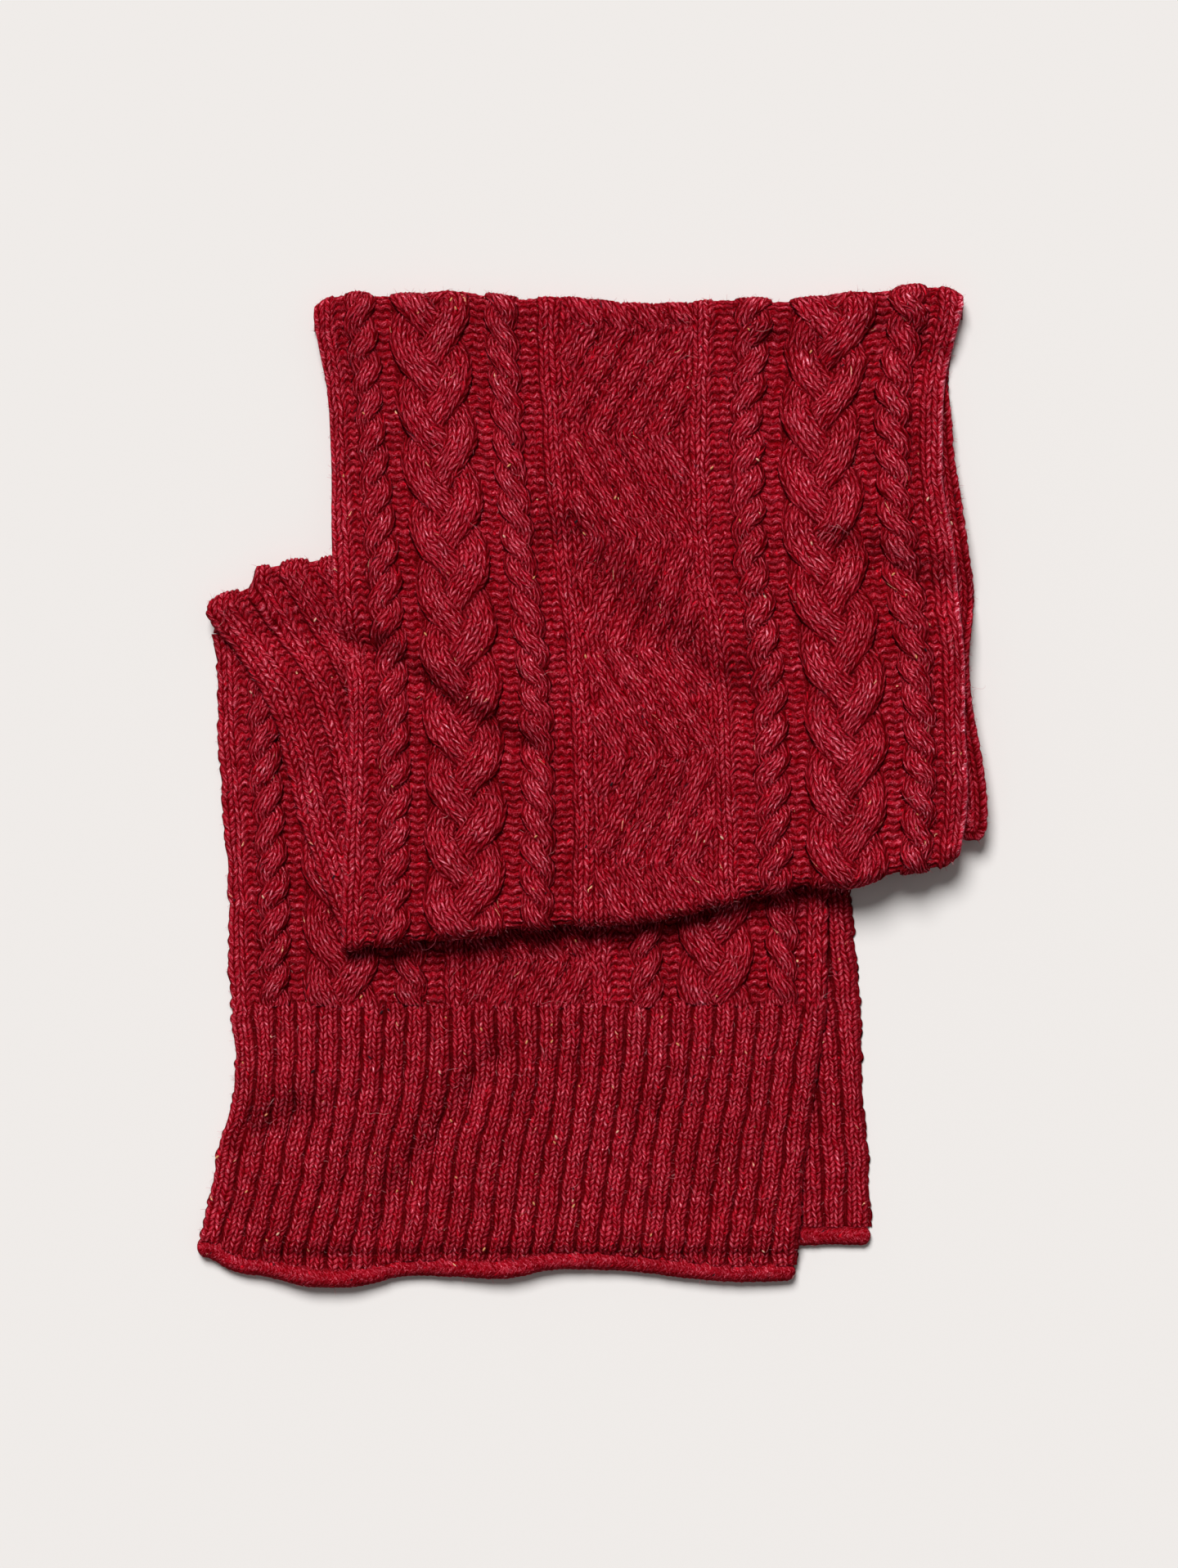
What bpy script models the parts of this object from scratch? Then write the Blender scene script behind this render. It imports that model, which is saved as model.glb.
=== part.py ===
"""A cable-knit scarf, folded in six layers and laid flat.

Sizes are in millimetres, turned into metres when a mesh is made. X runs to the right, Y up the
front panel, Z up. The origin is on the surface that the scarf lies on, under the middle of it.

From the top: the front panel runs from its lower fold to its upper fold. Under its left side the
turned stretch shows its reverse, and below both lies the lower stretch, which ends in ribbing and
a rolled hem. The other end of the scarf, with its own ribbing and hem, lies lowest. What is hidden
between them is one rounded solid with a groove at its side for each layer.
"""

import math

import bmesh
import bpy
import numpy as np

for old in list(bpy.data.objects):
    bpy.data.objects.remove(old)

MM = 0.001
MIDDLE = (1.05, -1.1)  # middle of the outline in the tables' own x and y, which becomes the origin

# The cloth
WALL = 4.0  # thickness of the plain knit between the cables
GAP = 0.4  # air between two solids that lie against each other
SELVEDGE = 1.8  # thickness of the cloth at its very edge
ROLL_IN = 7.0  # over this distance from an edge the cloth gains its whole thickness

# Raised work: how far each kind stands above the plain knit
RELIEF = {"edge_rib": 1.6, "gap": 0.0, "rope": 2.4, "plait": 3.0, "inner_rib": 1.4, "centre": 1.8}
RIB_RELIEF = 1.4  # ribbing at the two ends
CREST = 3.0  # the highest relief, on which the next layer lies
ROPE_PITCH = 17.2  # one crossing of a small rope cable, four rows
PLAIT_PITCH = 34.4  # one crossing of each strand of the big plait, eight rows
ROPE_LEAN = 0.9  # rise of a rope's strand for each millimetre across
PLAIT_LEAN = 0.75
CENTRE_PITCH = 17.8  # from strand to strand across the middle panel
CENTRE_LEAN = 1.7
ZIGZAG = 59.5  # length over which the strands of the middle panel keep one lean
RIB_COUNT = 27  # ribs across each end
FULL_RELIEF, NO_RELIEF = -0.3, -0.9  # cosine of a fold's turn, up to and past which cables show

# From the left selvedge to the middle panel: kind of work, width, cells across, lean of a rope
HALF_COLUMNS = [
    ("edge_rib", 16.5, 3, 0),
    ("gap", 6.0, 1, 0),
    ("rope", 18.0, 3, 1),
    ("gap", 6.0, 1, 0),
    ("plait", 46.0, 6, 0),
    ("gap", 8.7, 1, 0),
    ("rope", 17.0, 3, -1),
    ("gap", 11.0, 1, 0),
    ("inner_rib", 12.4, 2, 0),
]
CENTRE_COLUMN = ("centre", 66.8, 12, 0)

# Grid of the front panel: rows on the flat, three to a crossing of a rope, and rows round a fold
FLAT_ROWS, FOLD_ROWS = 62, 4
PANEL_LENGTH = FLAT_ROWS * ROPE_PITCH / 3
PLAIN = 3  # its plain inner side takes only each third point

# Front panel, seen from above: selvedges as x at each y, folds as y at each x
PANEL_LEFT = [  # y, x
    (-96, -137.5), (-42, -136), (-5, -134), (58, -134), (96, -140.5), (129, -142.5),
    (192, -144), (221, -146), (244, -150.5), (265, -153.5), (274, -153),
]
PANEL_RIGHT = [  # y, x
    (-42, 205), (-19, 209.5), (0, 210.5), (27, 209), (73, 208.5), (91, 207),
    (132, 203), (169, 197), (192, 197), (221, 198.5), (255, 206), (268, 209), (278, 207.5),
]
LOWER_FOLD = [  # x, y
    (-138, -95), (-99, -90), (-79, -88), (-50, -84), (-21, -81), (27, -79), (48, -75.5),
    (78, -68), (103, -61), (118, -59), (145, -58.5), (162, -54), (180, -50.5), (197, -48),
    (207, -41),
]
UPPER_FOLD = [  # x, y
    (-154, 268), (-147, 272.5), (-119, 275), (-91, 275), (-67, 277), (-51, 274.5), (-6, 273.5),
    (25, 270.5), (46, 270.5), (78, 273), (104, 272), (135, 274), (157, 277.5), (171, 278.5),
    (203, 278), (209, 275),
]
FOLD_RADIUS = 6.5  # outside of the two folds of the front panel
RELIEF_ROOM = 2.0  # the folds' lines are drawn round the cables, this far outside the plain knit
LIP = 7.0  # how far the cloth runs on under itself past a fold
# Height of the front panel's underside along it, 0 at the lower fold and 1 at the upper one
PANEL_HEIGHTS = [  # share, at the left selvedge, in the middle, at the right selvedge
    (0.00, 22.2, 25.5, 22.5),
    (0.08, 20.5, 25.5, 21.5),
    (0.20, 19.3, 25.0, 21.0),
    (0.42, 20.2, 22.2, 19.0),
    (0.50, 18.8, 20.5, 18.0),
    (0.60, 17.8, 18.5, 16.0),
    (0.70, 9.0, 15.0, 13.5),
    (0.82, 6.2, 12.0, 10.0),
    (0.93, 7.2, 9.6, 8.0),
    (1.00, 9.0, 9.0, 9.0),
]
EDGE_FALL = 42.0  # width of the slope down to a selvedge
# Soft troughs in the front panel: depth, half width, then the line that each follows
PANEL_CREASES = [
    (4.5, 9.0, [(-112, 70), (-100, 66), (-77, 48), (-55, 34)]),
    (5.5, 9.0, [(-9, 137), (7, 125), (28, 93), (51, 70), (78, 54)]),
    (3.5, 9.0, [(108, 139), (156, 131), (190, 115)]),
    (3.5, 10.0, [(-36, 246), (64, 248), (119, 240), (167, 247), (183, 243)]),
    (3.0, 9.0, [(169, -36), (200, -30)]),
]

# Turned stretch, reverse side up
TURNED_SELVEDGE = [(-132, -94), (-160, -19), (-178, 50), (-212.5, 102.5)]  # x, y
TURNED_ALONG = (0.949, 0.316)  # direction of its fold, away from the selvedge
TURNED_REACH = 96.0  # cloth that shows or lies just under the front panel
TURNED_RADIUS = 7.5
TURNED_RIB = 1.2
TURNED_PITCH = 13.7
TURNED_RUN, TURNED_CLIMB = 20.0, 30.0  # it climbs over the lower stretch's end: from, and over
# A small pleat in its fold: where it is across, its width, its step along the cloth, where that
# step fades, and the share of the cloth's length that it takes up
PLEAT_AT, PLEAT_OVER, PLEAT_STEP = 24.0, 5.0, 9.0
PLEAT_FADE_FROM, PLEAT_FADE, PLEAT_LENGTH = 30.0, 55.0, 0.4

# Lower stretch and its ribbed end: left and right selvedge as x at each y
LOWER_EDGES = [  # y, left, right
    (-275, -219, 116), (-260, -218, 116), (-248, -215, 117), (-224, -210, 119),
    (-202, -206.5, 121.5), (-179, -199.5, 124.5), (-156, -197, 128), (-128, -199, 132),
    (-97, -200.5, 133), (-65, -200.5, 133), (-19, -203.5, 131), (27, -206.5, 129),
    (73, -208, 127), (92, -211, 126),
]
RIB_START = -124.0
RIB_END = [  # x, y
    (-219, -254), (-212, -254), (-197, -261.5), (-178, -265), (-156, -270), (-142, -271),
    (-121, -268.5), (-110, -265.5), (-98, -264.5), (-76, -264.5), (-46, -265.5), (-37, -264),
    (-20, -261), (-8, -260.5), (15, -261), (39, -263.5), (56, -265.5), (74, -267.5),
    (97, -267.5), (117, -267),
]
LOWER_TOP = 84.0
CABLE_START = -90.0  # a crossing of its cables lies at this y
UNDERSIDE_SAG, OUTSIDE_SAG = 1.2, 0.75  # most that its underside sags, share that its outside does
HEM_CROWD = 1.25  # the ribbing's rows of points lie closer towards the hem
LOWER_CREASES = [
    (4.0, 9.0, [(-57, -156), (-78, -179), (-91, -202), (-110, -220), (-121, -247), (-123, -262)]),
    (2.6, 11.0, [(28, -188), (9, -206), (-9, -229), (-18, -252)]),
    (3.0, 10.0, [(-200, -186), (-175, -190), (-158, -170)]),
    (1.6, 9.0, [(55, -238), (87, -222)]),
]

# Hems: a roll's middle line and its size
HEM_SPAN, UNDER_HEM_SPAN = (-218.5, 115.5), (-176.0, 157.5)  # x at both ends
HEM_WIDTH, HEM_HEIGHT = 10.0, 9.0
ROLL_FLAT = 1.08  # the oval is this much taller than the roll, and cut flat below
HEM_BACK = 5.5  # from the end of the ribbing to the roll's middle line
UNDER_HEM_WIDTH, UNDER_HEM_HEIGHT = 10.5, 6.2
OVER_HEM = 8.0  # the lower stretch lies this high over the under stretch's hem

# Under stretch: the scarf's other end, lowest of all
UNDER_EDGES = [  # y, left, right
    (-257, -177, 158), (-240, -177, 157), (-216, -179, 156), (-190, -181, 154),
    (-166, -183, 152.5), (-123, -184, 151), (-91, -185, 148.5), (-59, -186, 145.5),
    (-10, -187, 143), (73, -188, 140),
]
UNDER_HEM_Y = -251.0
UNDER_TOP = 62.0
UNDER_RIBS = 4  # ribs raised at its right side, where it shows
LIFT = WALL + RIB_RELIEF + GAP  # the lower stretch lies this high on the under stretch
LIFT_RUN = 14.0

# Hidden layers: outer edge of the strip that shows on the right
STRIP_EDGE = [  # y, x
    (-40, 214), (-30, 218.5), (-16, 219.5), (1, 218.5), (18, 216), (33, 213), (51, 210.5),
    (84, 210), (100, 213), (117, 211.5), (131, 209), (152, 206), (170, 203.5), (185, 200.5),
    (207, 200), (222, 197.5), (256, 203.5),
]
PACKET_INSET = 14.5  # from the front panel's left selvedge, below the turned stretch's fold
PACKET_INSET_TOP = 3.0  # and above it
INSET_FROM, INSET_OVER = 134.0, 10.0  # y at which the one becomes the other, and over what length
UNDER_SELVEDGE = 6.0  # its top leaves the front panel's underside this far inside the selvedge
STRIP_INNER = 1.5  # the shown strip starts this far past the selvedge
STRIP_FALLS = (0.0, 0.6, 1.8)  # how its top falls away to the side
PACKET_LOW = -36.0  # its lower end, right of the front panel
LAYERS, LAYER = 4, 5.0  # hidden layers that show at its side, and the height of each
BULGE = 1.5  # how far a layer's round edge stands out from the packet's top
GROOVE = 2.2  # depth of the grooves between layers
LEAST_GROOVE = 0.2  # share of that depth where the packet is thinnest

COLOURS = {
    "front": (0.30, 0.010, 0.032, 1.0),
    "turned": (0.27, 0.009, 0.028, 1.0),
    "lower": (0.29, 0.010, 0.030, 1.0),
    "ribbing": (0.28, 0.009, 0.030, 1.0),
    "hem": (0.31, 0.012, 0.036, 1.0),
    "under": (0.27, 0.008, 0.027, 1.0),
    "packet": (0.25, 0.008, 0.025, 1.0),
}


def spline(table, at, column=1):
    """Smooth curve through a table's rows: one column as a function of the first.

    Between two rows it is a cubic whose slopes are the mean slopes of the neighbouring stretches,
    and past the first and last row it keeps their values.
    """
    knots = np.array([row[0] for row in table], float)
    values = np.array([row[column] for row in table], float)
    slopes = np.gradient(values, knots)
    at = np.clip(at, knots[0], knots[-1])
    i = np.clip(np.searchsorted(knots, at) - 1, 0, len(knots) - 2)
    step = knots[i + 1] - knots[i]
    t = (at - knots[i]) / step
    start = values[i] * (2 * t**3 - 3 * t**2 + 1) + slopes[i] * step * (t**3 - 2 * t**2 + t)
    end = values[i + 1] * (3 * t**2 - 2 * t**3) + slopes[i + 1] * step * (t**3 - t**2)
    return start + end


def rise(t):
    """0 below 0, 1 above 1, and a smooth step between."""
    t = np.clip(t, 0.0, 1.0)
    return t * t * (3 - 2 * t)


def between(edges, u, y):
    """Place across a stretch at y: u is 0 at its left selvedge and 1 at its right one."""
    return spline(edges, y) * (1 - u) + spline(edges, y, 2) * u


def trough(x, y, creases):
    """Depth of the soft troughs at each point: a bell across each line, fading at its ends."""
    depth_here = np.zeros(np.broadcast(x, y).shape)
    for depth, half_width, line in creases:
        nearest = np.full(depth_here.shape, np.inf)
        for (ax, ay), (bx, by) in zip(line[:-1], line[1:]):
            length_2 = (bx - ax) ** 2 + (by - ay) ** 2
            t = np.clip(((x - ax) * (bx - ax) + (y - ay) * (by - ay)) / length_2, 0.0, 1.0)
            off = np.hypot(x - ax - t * (bx - ax), y - ay - t * (by - ay))
            nearest = np.minimum(nearest, off)
        depth_here = np.maximum(depth_here, depth * np.exp(-((nearest / half_width) ** 2)))
    return depth_here


def columns():
    """Every column line of the cabled cloth: distance from the left selvedge, and its column."""
    mirrored = [(kind, width, cells, -lean) for kind, width, cells, lean in HALF_COLUMNS[::-1]]
    lines, work, start = [], [], 0.0
    for kind, width, cells, lean in HALF_COLUMNS + [CENTRE_COLUMN] + mirrored:
        work.append((kind, start, width, lean))
        lines += [start + width * i / cells for i in range(cells)]
        start += width
    return np.array(lines + [start]), work


COLUMN_LINES, WORK = columns()
CLOTH_WIDTH = COLUMN_LINES[-1]


def strand(phase, sharpness=0.6):
    """Round back of one strand for each whole number of phase, with a groove between two."""
    return np.abs(np.sin(math.pi * phase)) ** sharpness


def raised(across, along):
    """Relief of the cabled cloth, from the distance across it and the distance along it."""
    relief = np.zeros(np.broadcast(across, along).shape)
    for kind, start, width, lean in WORK:
        inside = (across >= start) & (across <= start + width)
        share = np.clip((across - start) / width, 0.0, 1.0)
        off = across - start - width / 2
        crown = np.sin(math.pi * share) ** 0.6
        if kind == "rope":
            form = crown * (0.4 + 0.6 * strand((along - lean * ROPE_LEAN * off) / ROPE_PITCH))
        elif kind == "plait":
            half_turn = 0.45 * (off > 0)
            turn = (along - PLAIT_LEAN * np.abs(off)) / PLAIT_PITCH + half_turn
            form = crown * (0.45 + 0.55 * strand(turn, 0.5))
        elif kind == "centre":
            swing = np.abs((along / ZIGZAG) % 2.0 - 1.0) * ZIGZAG / CENTRE_LEAN
            form = 0.35 + 0.65 * strand((off - swing) / CENTRE_PITCH)
        else:
            form = crown
        relief = np.where(inside, RELIEF[kind] * form, relief)
    return relief


def lean_of_rows(across):
    """How far the grid's rows are moved along the cloth, so that they follow the strands."""
    shift = np.zeros(across.shape)
    for kind, start, width, lean in WORK:
        inside = (across >= start) & (across <= start + width)
        off = across - start - width / 2
        if kind == "rope":
            shift = np.where(inside, lean * ROPE_LEAN * off, shift)
        elif kind == "plait":
            shift = np.where(inside, PLAIT_LEAN * (np.abs(off) - width / 2), shift)
    return shift


def edge_thickness(across, width):
    """Thickness of the plain cloth, which thins in a quarter round towards both selvedges."""
    near = np.minimum(across, width - across) / ROLL_IN
    return SELVEDGE + (WALL - SELVEDGE) * np.sqrt(1 - (1 - np.clip(near, 0.0, 1.0)) ** 2)


def material(name):
    """Wool of one colour, dull all over."""
    wool = bpy.data.materials.new(name + "_wool")
    wool.use_nodes = True
    shader = wool.node_tree.nodes["Principled BSDF"]
    shader.inputs["Base Color"].default_value = COLOURS[name]
    shader.inputs["Roughness"].default_value = 0.95
    shader.inputs["Metallic"].default_value = 0.0
    return wool


def body(name, points, faces, wool):
    """An object from points in millimetres and faces, with its faces turned outwards."""
    used = sorted({i for face in faces for i in face})
    place = {old: new for new, old in enumerate(used)}
    mesh = bpy.data.meshes.new(name)
    placed = (np.asarray(points)[used] - np.array([*MIDDLE, 0.0])) * MM
    mesh.from_pydata(placed, [], [[place[i] for i in f] for f in faces])
    shape = bmesh.new()
    shape.from_mesh(mesh)
    bmesh.ops.recalc_face_normals(shape, faces=shape.faces)
    if shape.calc_volume(signed=True) < 0:
        bmesh.ops.reverse_faces(shape, faces=shape.faces)
    shape.to_mesh(mesh)
    shape.free()
    mesh.shade_smooth()
    mesh.set_sharp_from_angle(angle=math.radians(60))
    mesh.materials.append(wool)
    thing = bpy.data.objects.new(name, mesh)
    bpy.context.scene.collection.objects.link(thing)
    return thing


def wall(name, inner, outer, wool, step=(1, 1), keep=None):
    """A closed wall between two grids of points.

    The outer grid is kept whole. The inner one is plain and takes only each step-th point, and a
    rim of faces joins them wherever the kept cells end.
    """
    rows, cols = outer.shape[0] - 1, outer.shape[1] - 1
    down, over = step
    if keep is None:
        keep = np.ones((rows // down, cols // over), bool)
    outer_at = np.arange(outer.shape[0] * outer.shape[1]).reshape(outer.shape[:2])
    inner_at = outer_at + outer_at.size
    faces = []
    for i, j in zip(*np.nonzero(keep)):
        r, c = i * down, j * over
        corner, opposite = inner_at[r, c], inner_at[r + down, c + over]
        faces.append((corner, inner_at[r + down, c], opposite))
        faces.append((corner, opposite, inner_at[r, c + over]))
        for a in range(r, r + down):
            for b in range(c, c + over):
                faces.append((outer_at[a, b], outer_at[a, b + 1], outer_at[a + 1, b + 1],
                              outer_at[a + 1, b]))
        sides = (
            (i - 1, j, outer_at[r, c:c + over + 1], inner_at[r, c], inner_at[r, c + over]),
            (i + 1, j, outer_at[r + down, c:c + over + 1], inner_at[r + down, c],
             inner_at[r + down, c + over]),
            (i, j - 1, outer_at[r:r + down + 1, c], inner_at[r, c], inner_at[r + down, c]),
            (i, j + 1, outer_at[r:r + down + 1, c + over], inner_at[r, c + over],
             inner_at[r + down, c + over]),
        )
        for near_i, near_j, line, first, last in sides:
            in_grid = 0 <= near_i < keep.shape[0] and 0 <= near_j < keep.shape[1]
            if not (in_grid and keep[near_i, near_j]):
                faces.append((*line, last, first))
    points = np.concatenate([outer.reshape(-1, 3), inner.reshape(-1, 3)])
    return body(name, points, [[int(k) for k in face] for face in faces], wool)


def fold_lines(x):
    """Where the front panel starts to turn into its lower fold and into its upper one, at each x."""
    turned_in = FOLD_RADIUS + RELIEF_ROOM
    return spline(LOWER_FOLD, x) + turned_in, spline(UPPER_FOLD, x) - turned_in


def panel_height(x, y):
    """Height of the front panel's underside, from its place seen from above."""
    left, right = spline(PANEL_LEFT, y), spline(PANEL_RIGHT, y)
    low, high = fold_lines(x)
    share = (y - low) / (high - low)
    at_left, middle, at_right = (spline(PANEL_HEIGHTS, share, column) for column in (1, 2, 3))
    from_left, from_right = rise((x - left) / EDGE_FALL), rise((right - x) / EDGE_FALL)
    height = at_left + (middle - at_left) * from_left
    height = at_right + (height - at_right) * from_right
    flat_near_folds = rise(share / 0.06) * rise((1 - share) / 0.06)
    return height - trough(x, y, PANEL_CREASES) * flat_near_folds


def panel_place(u, share):
    """Place seen from above: u across from the left selvedge, share from fold to fold."""
    y = 0 * u + 0 * share
    for _ in range(4):
        x = spline(PANEL_LEFT, y) * (1 - u) + spline(PANEL_RIGHT, y) * u
        low, high = fold_lines(x)
        y = low + (high - low) * share
    return x, y


def around(x, y, height, turn, run, radius, way):
    """A point of the inner surface and its outward direction, round a fold and on under it.

    turn goes from 0 on top to pi below, run is the distance past the fold, and way is -1 for a
    fold at the low end and 1 for one at the high end.
    """
    inner_radius = radius - WALL
    inner = np.stack(
        [
            x,
            y + way * (inner_radius * np.sin(turn) - run),
            height - inner_radius + inner_radius * np.cos(turn),
        ],
        axis=-1,
    )
    out = np.stack([0 * x, way * np.sin(turn) + 0 * x, np.cos(turn) + 0 * x], axis=-1)
    return inner, out


def lowest_near(height, reach=2):
    """The least height within a few points of each point of a grid."""
    lowest = np.pad(height, reach, mode="edge")
    windows = np.lib.stride_tricks.sliding_window_view(lowest, (2 * reach + 1, 2 * reach + 1))
    return windows.min(axis=(2, 3))


def panel_surfaces():
    """Inner and outer points of the front panel with both its folds."""
    before = FOLD_ROWS + 1
    index = np.arange(FLAT_ROWS + 2 * before + 1) - before
    past_low = np.clip(-index, 0, None)[:, None]
    past_high = np.clip(index - FLAT_ROWS, 0, None)[:, None]
    on_flat = np.clip(index, 0, FLAT_ROWS)[:, None] / FLAT_ROWS
    leaning = rise(on_flat / 0.05) * rise((1 - on_flat) / 0.05)
    shift = lean_of_rows(COLUMN_LINES)[None, :] / PANEL_LENGTH
    share = on_flat + shift * leaning
    x, y = panel_place(COLUMN_LINES[None, :] / CLOTH_WIDTH, share)
    past = past_low + past_high + 0 * x
    turn = math.pi * np.clip(past / FOLD_ROWS, 0, 1)
    run = LIP * np.clip(past - FOLD_ROWS, 0, 1)
    way = np.where(past_low > 0, -1.0, 1.0) + 0 * x
    height = panel_height(x, y)
    ground, out = around(x, y, height, turn, run, FOLD_RADIUS, way)
    inner = around(x, y, lowest_near(height), turn, run, FOLD_RADIUS, way)[0]
    along = share * PANEL_LENGTH + way * (turn * (FOLD_RADIUS - WALL / 2) + run)
    upper_side = rise((np.cos(turn) - NO_RELIEF) / (FULL_RELIEF - NO_RELIEF))
    relief = raised(COLUMN_LINES[None, :] + 0 * along, along) * upper_side
    thick = edge_thickness(COLUMN_LINES, CLOTH_WIDTH)[None, :] + relief
    outer = ground + out * thick[..., None]
    outer[..., 2] = np.maximum(outer[..., 2], 0.0)
    inner[..., 2] = np.maximum(inner[..., 2], SELVEDGE)
    return inner, outer


def top_stretch():
    """Front panel with both its folds: cables and ribs stand on its outer side."""
    inner, outer = panel_surfaces()
    return wall("top_stretch", inner, outer, material("front"), step=(PLAIN, PLAIN))


def lower_height(x, y):
    """Height of the lower stretch's underside: on the under stretch, else down on the floor."""
    left = spline(UNDER_EDGES, y)
    on_it = rise((x - left + LIFT_RUN) / LIFT_RUN)
    on_it = on_it * rise((UNDER_TOP + LIFT_RUN - y) / LIFT_RUN)
    on_it = on_it * rise((y - UNDER_HEM_Y + UNDER_HEM_WIDTH / 2 + LIFT_RUN) / LIFT_RUN)
    bump = (OVER_HEM - LIFT) * np.exp(-(((y - UNDER_HEM_Y) / UNDER_HEM_WIDTH) ** 2))
    return (LIFT + bump) * on_it


def lower_top(x):
    """Where the cloth below the front panel ends: a little way in under its lower fold."""
    return fold_lines(x)[0] + LIP - GAP


def lower_stretch():
    """The cabled part of the lowest visible stretch: a band below the front panel's lower fold,
    and a column up its left side, which the turned stretch partly covers."""
    band_rows, column_rows = 12, 15
    u = COLUMN_LINES[None, :] / CLOTH_WIDTH
    row = np.arange(band_rows + column_rows + 1)[:, None]
    band_top = lower_top(between(LOWER_EDGES, u, RIB_START))
    in_band = np.clip(row / band_rows, 0, 1)
    in_column = np.clip((row - band_rows) / column_rows, 0, 1)
    y = RIB_START + GAP + (band_top - RIB_START - GAP) * in_band
    y = y + (LOWER_TOP - band_top) * in_column
    x = between(LOWER_EDGES, u, y)
    height = lower_height(x, y)
    relief = raised(COLUMN_LINES[None, :] + 0 * y, y - CABLE_START)
    thick = edge_thickness(COLUMN_LINES, CLOTH_WIDTH)[None, :] + relief
    inner = np.stack([x, y, height], axis=-1)
    outer = np.stack([x, y, height + thick], axis=-1)
    step = (1, PLAIN)
    keep = np.ones((band_rows + column_rows, u.size // PLAIN), bool)
    keep[band_rows:, 4:] = False
    return wall("lower_stretch", inner, outer, material("lower"), step=step, keep=keep)


def ribs(across, width, count, high):
    """Relief of ribbing: round ribs side by side with a narrow groove between two."""
    return high * strand(across / width * count, 0.5)


def rib_end():
    """Two-by-two ribbing at the end of the lower stretch, down to its rolled hem."""
    rows = 11
    u = np.linspace(0, 1, 2 * RIB_COUNT + 1)[None, :]
    t = (np.linspace(0, 1, rows + 1) ** HEM_CROWD)[:, None]
    y = RIB_START + 0 * u + 0 * t
    for _ in range(4):
        x = between(LOWER_EDGES, u, y)
        low = spline(RIB_END, x) + GAP
        y = low + (RIB_START - low) * t
    height = lower_height(x, y)
    across = u * CLOTH_WIDTH
    wave = trough(x, y, LOWER_CREASES) * rise(t / 0.15) * rise((1 - t) / 0.15)
    wave = wave * rise(np.minimum(across, CLOTH_WIDTH - across) / (2 * ROLL_IN))
    relief = ribs(across, CLOTH_WIDTH, RIB_COUNT, RIB_RELIEF)
    thick = edge_thickness(across, CLOTH_WIDTH) + relief
    inner = np.stack([x, y, height - np.minimum(wave, UNDERSIDE_SAG) * rise(height / LIFT)], axis=-1)
    outer = np.stack([x, y, height + thick - OUTSIDE_SAG * wave], axis=-1)
    return wall("rib_end", inner, outer, material("ribbing"), step=(1, 2))


def turned_stretch():
    """Reverse side of the cloth between two folds, with the fold that joins it to the lower
    stretch and its small pleat."""
    selvedge = np.array(TURNED_SELVEDGE, float)
    lengths = np.linalg.norm(np.diff(selvedge, axis=0), axis=1)
    along = np.concatenate([[0.0], np.cumsum(lengths)])
    flat_rows, fold_rows, lip_rows, cols = 18, 4, 1, 13
    index = np.arange(flat_rows + fold_rows + lip_rows + 1)
    across = np.linspace(0, TURNED_REACH, cols + 1)[None, :]
    share = np.clip(index / flat_rows, 0, 1)[:, None]
    x = spline(np.column_stack([along, selvedge[:, 0]]), share * along[-1])
    y = spline(np.column_stack([along, selvedge[:, 1]]), share * along[-1]) - TURNED_RADIUS * share
    x = x + across * TURNED_ALONG[0]
    pleat = PLEAT_STEP * rise((across - PLEAT_AT) / PLEAT_OVER)
    pleat = pleat * (1 - rise((across - PLEAT_FADE_FROM) / PLEAT_FADE))
    pleat = pleat * rise(1 - (1 - share) / PLEAT_LENGTH)
    y = y + across * TURNED_ALONG[1] + pleat
    near_fold = rise((y - LOWER_TOP + TURNED_RUN) / TURNED_CLIMB)
    top_inner = 2 * TURNED_RADIUS - WALL
    height = lower_height(x, y) + WALL + CREST + GAP
    height = height + (top_inner - height) * near_fold
    past = np.clip(index - flat_rows, 0, None)[:, None]
    turn = math.pi * np.clip(past / fold_rows, 0, 1) + 0 * x
    lip = np.clip((past - fold_rows) / lip_rows, 0, 1)
    run = lip * (y - LOWER_TOP - GAP)
    inner, out = around(x, y, height, turn, run, TURNED_RADIUS, 1.0)
    relief = TURNED_RIB * strand(across / TURNED_PITCH, 0.5) * (1 - lip)
    thick = edge_thickness(across, CLOTH_WIDTH) + relief * rise(1 + np.cos(turn))
    outer = inner + out * thick[..., None]
    outer[..., 2] = np.maximum(outer[..., 2], 0.0)
    inside = x < spline(PANEL_LEFT, y) + PACKET_INSET - BULGE - GAP
    above_fold = y > fold_lines(x)[0] + LIP
    fits = inside & above_fold
    keep = fits[:-1, :-1] & fits[1:, :-1] & fits[:-1, 1:] & fits[1:, 1:]
    return wall("turned_stretch", inner, outer, material("turned"), keep=keep)


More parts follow.
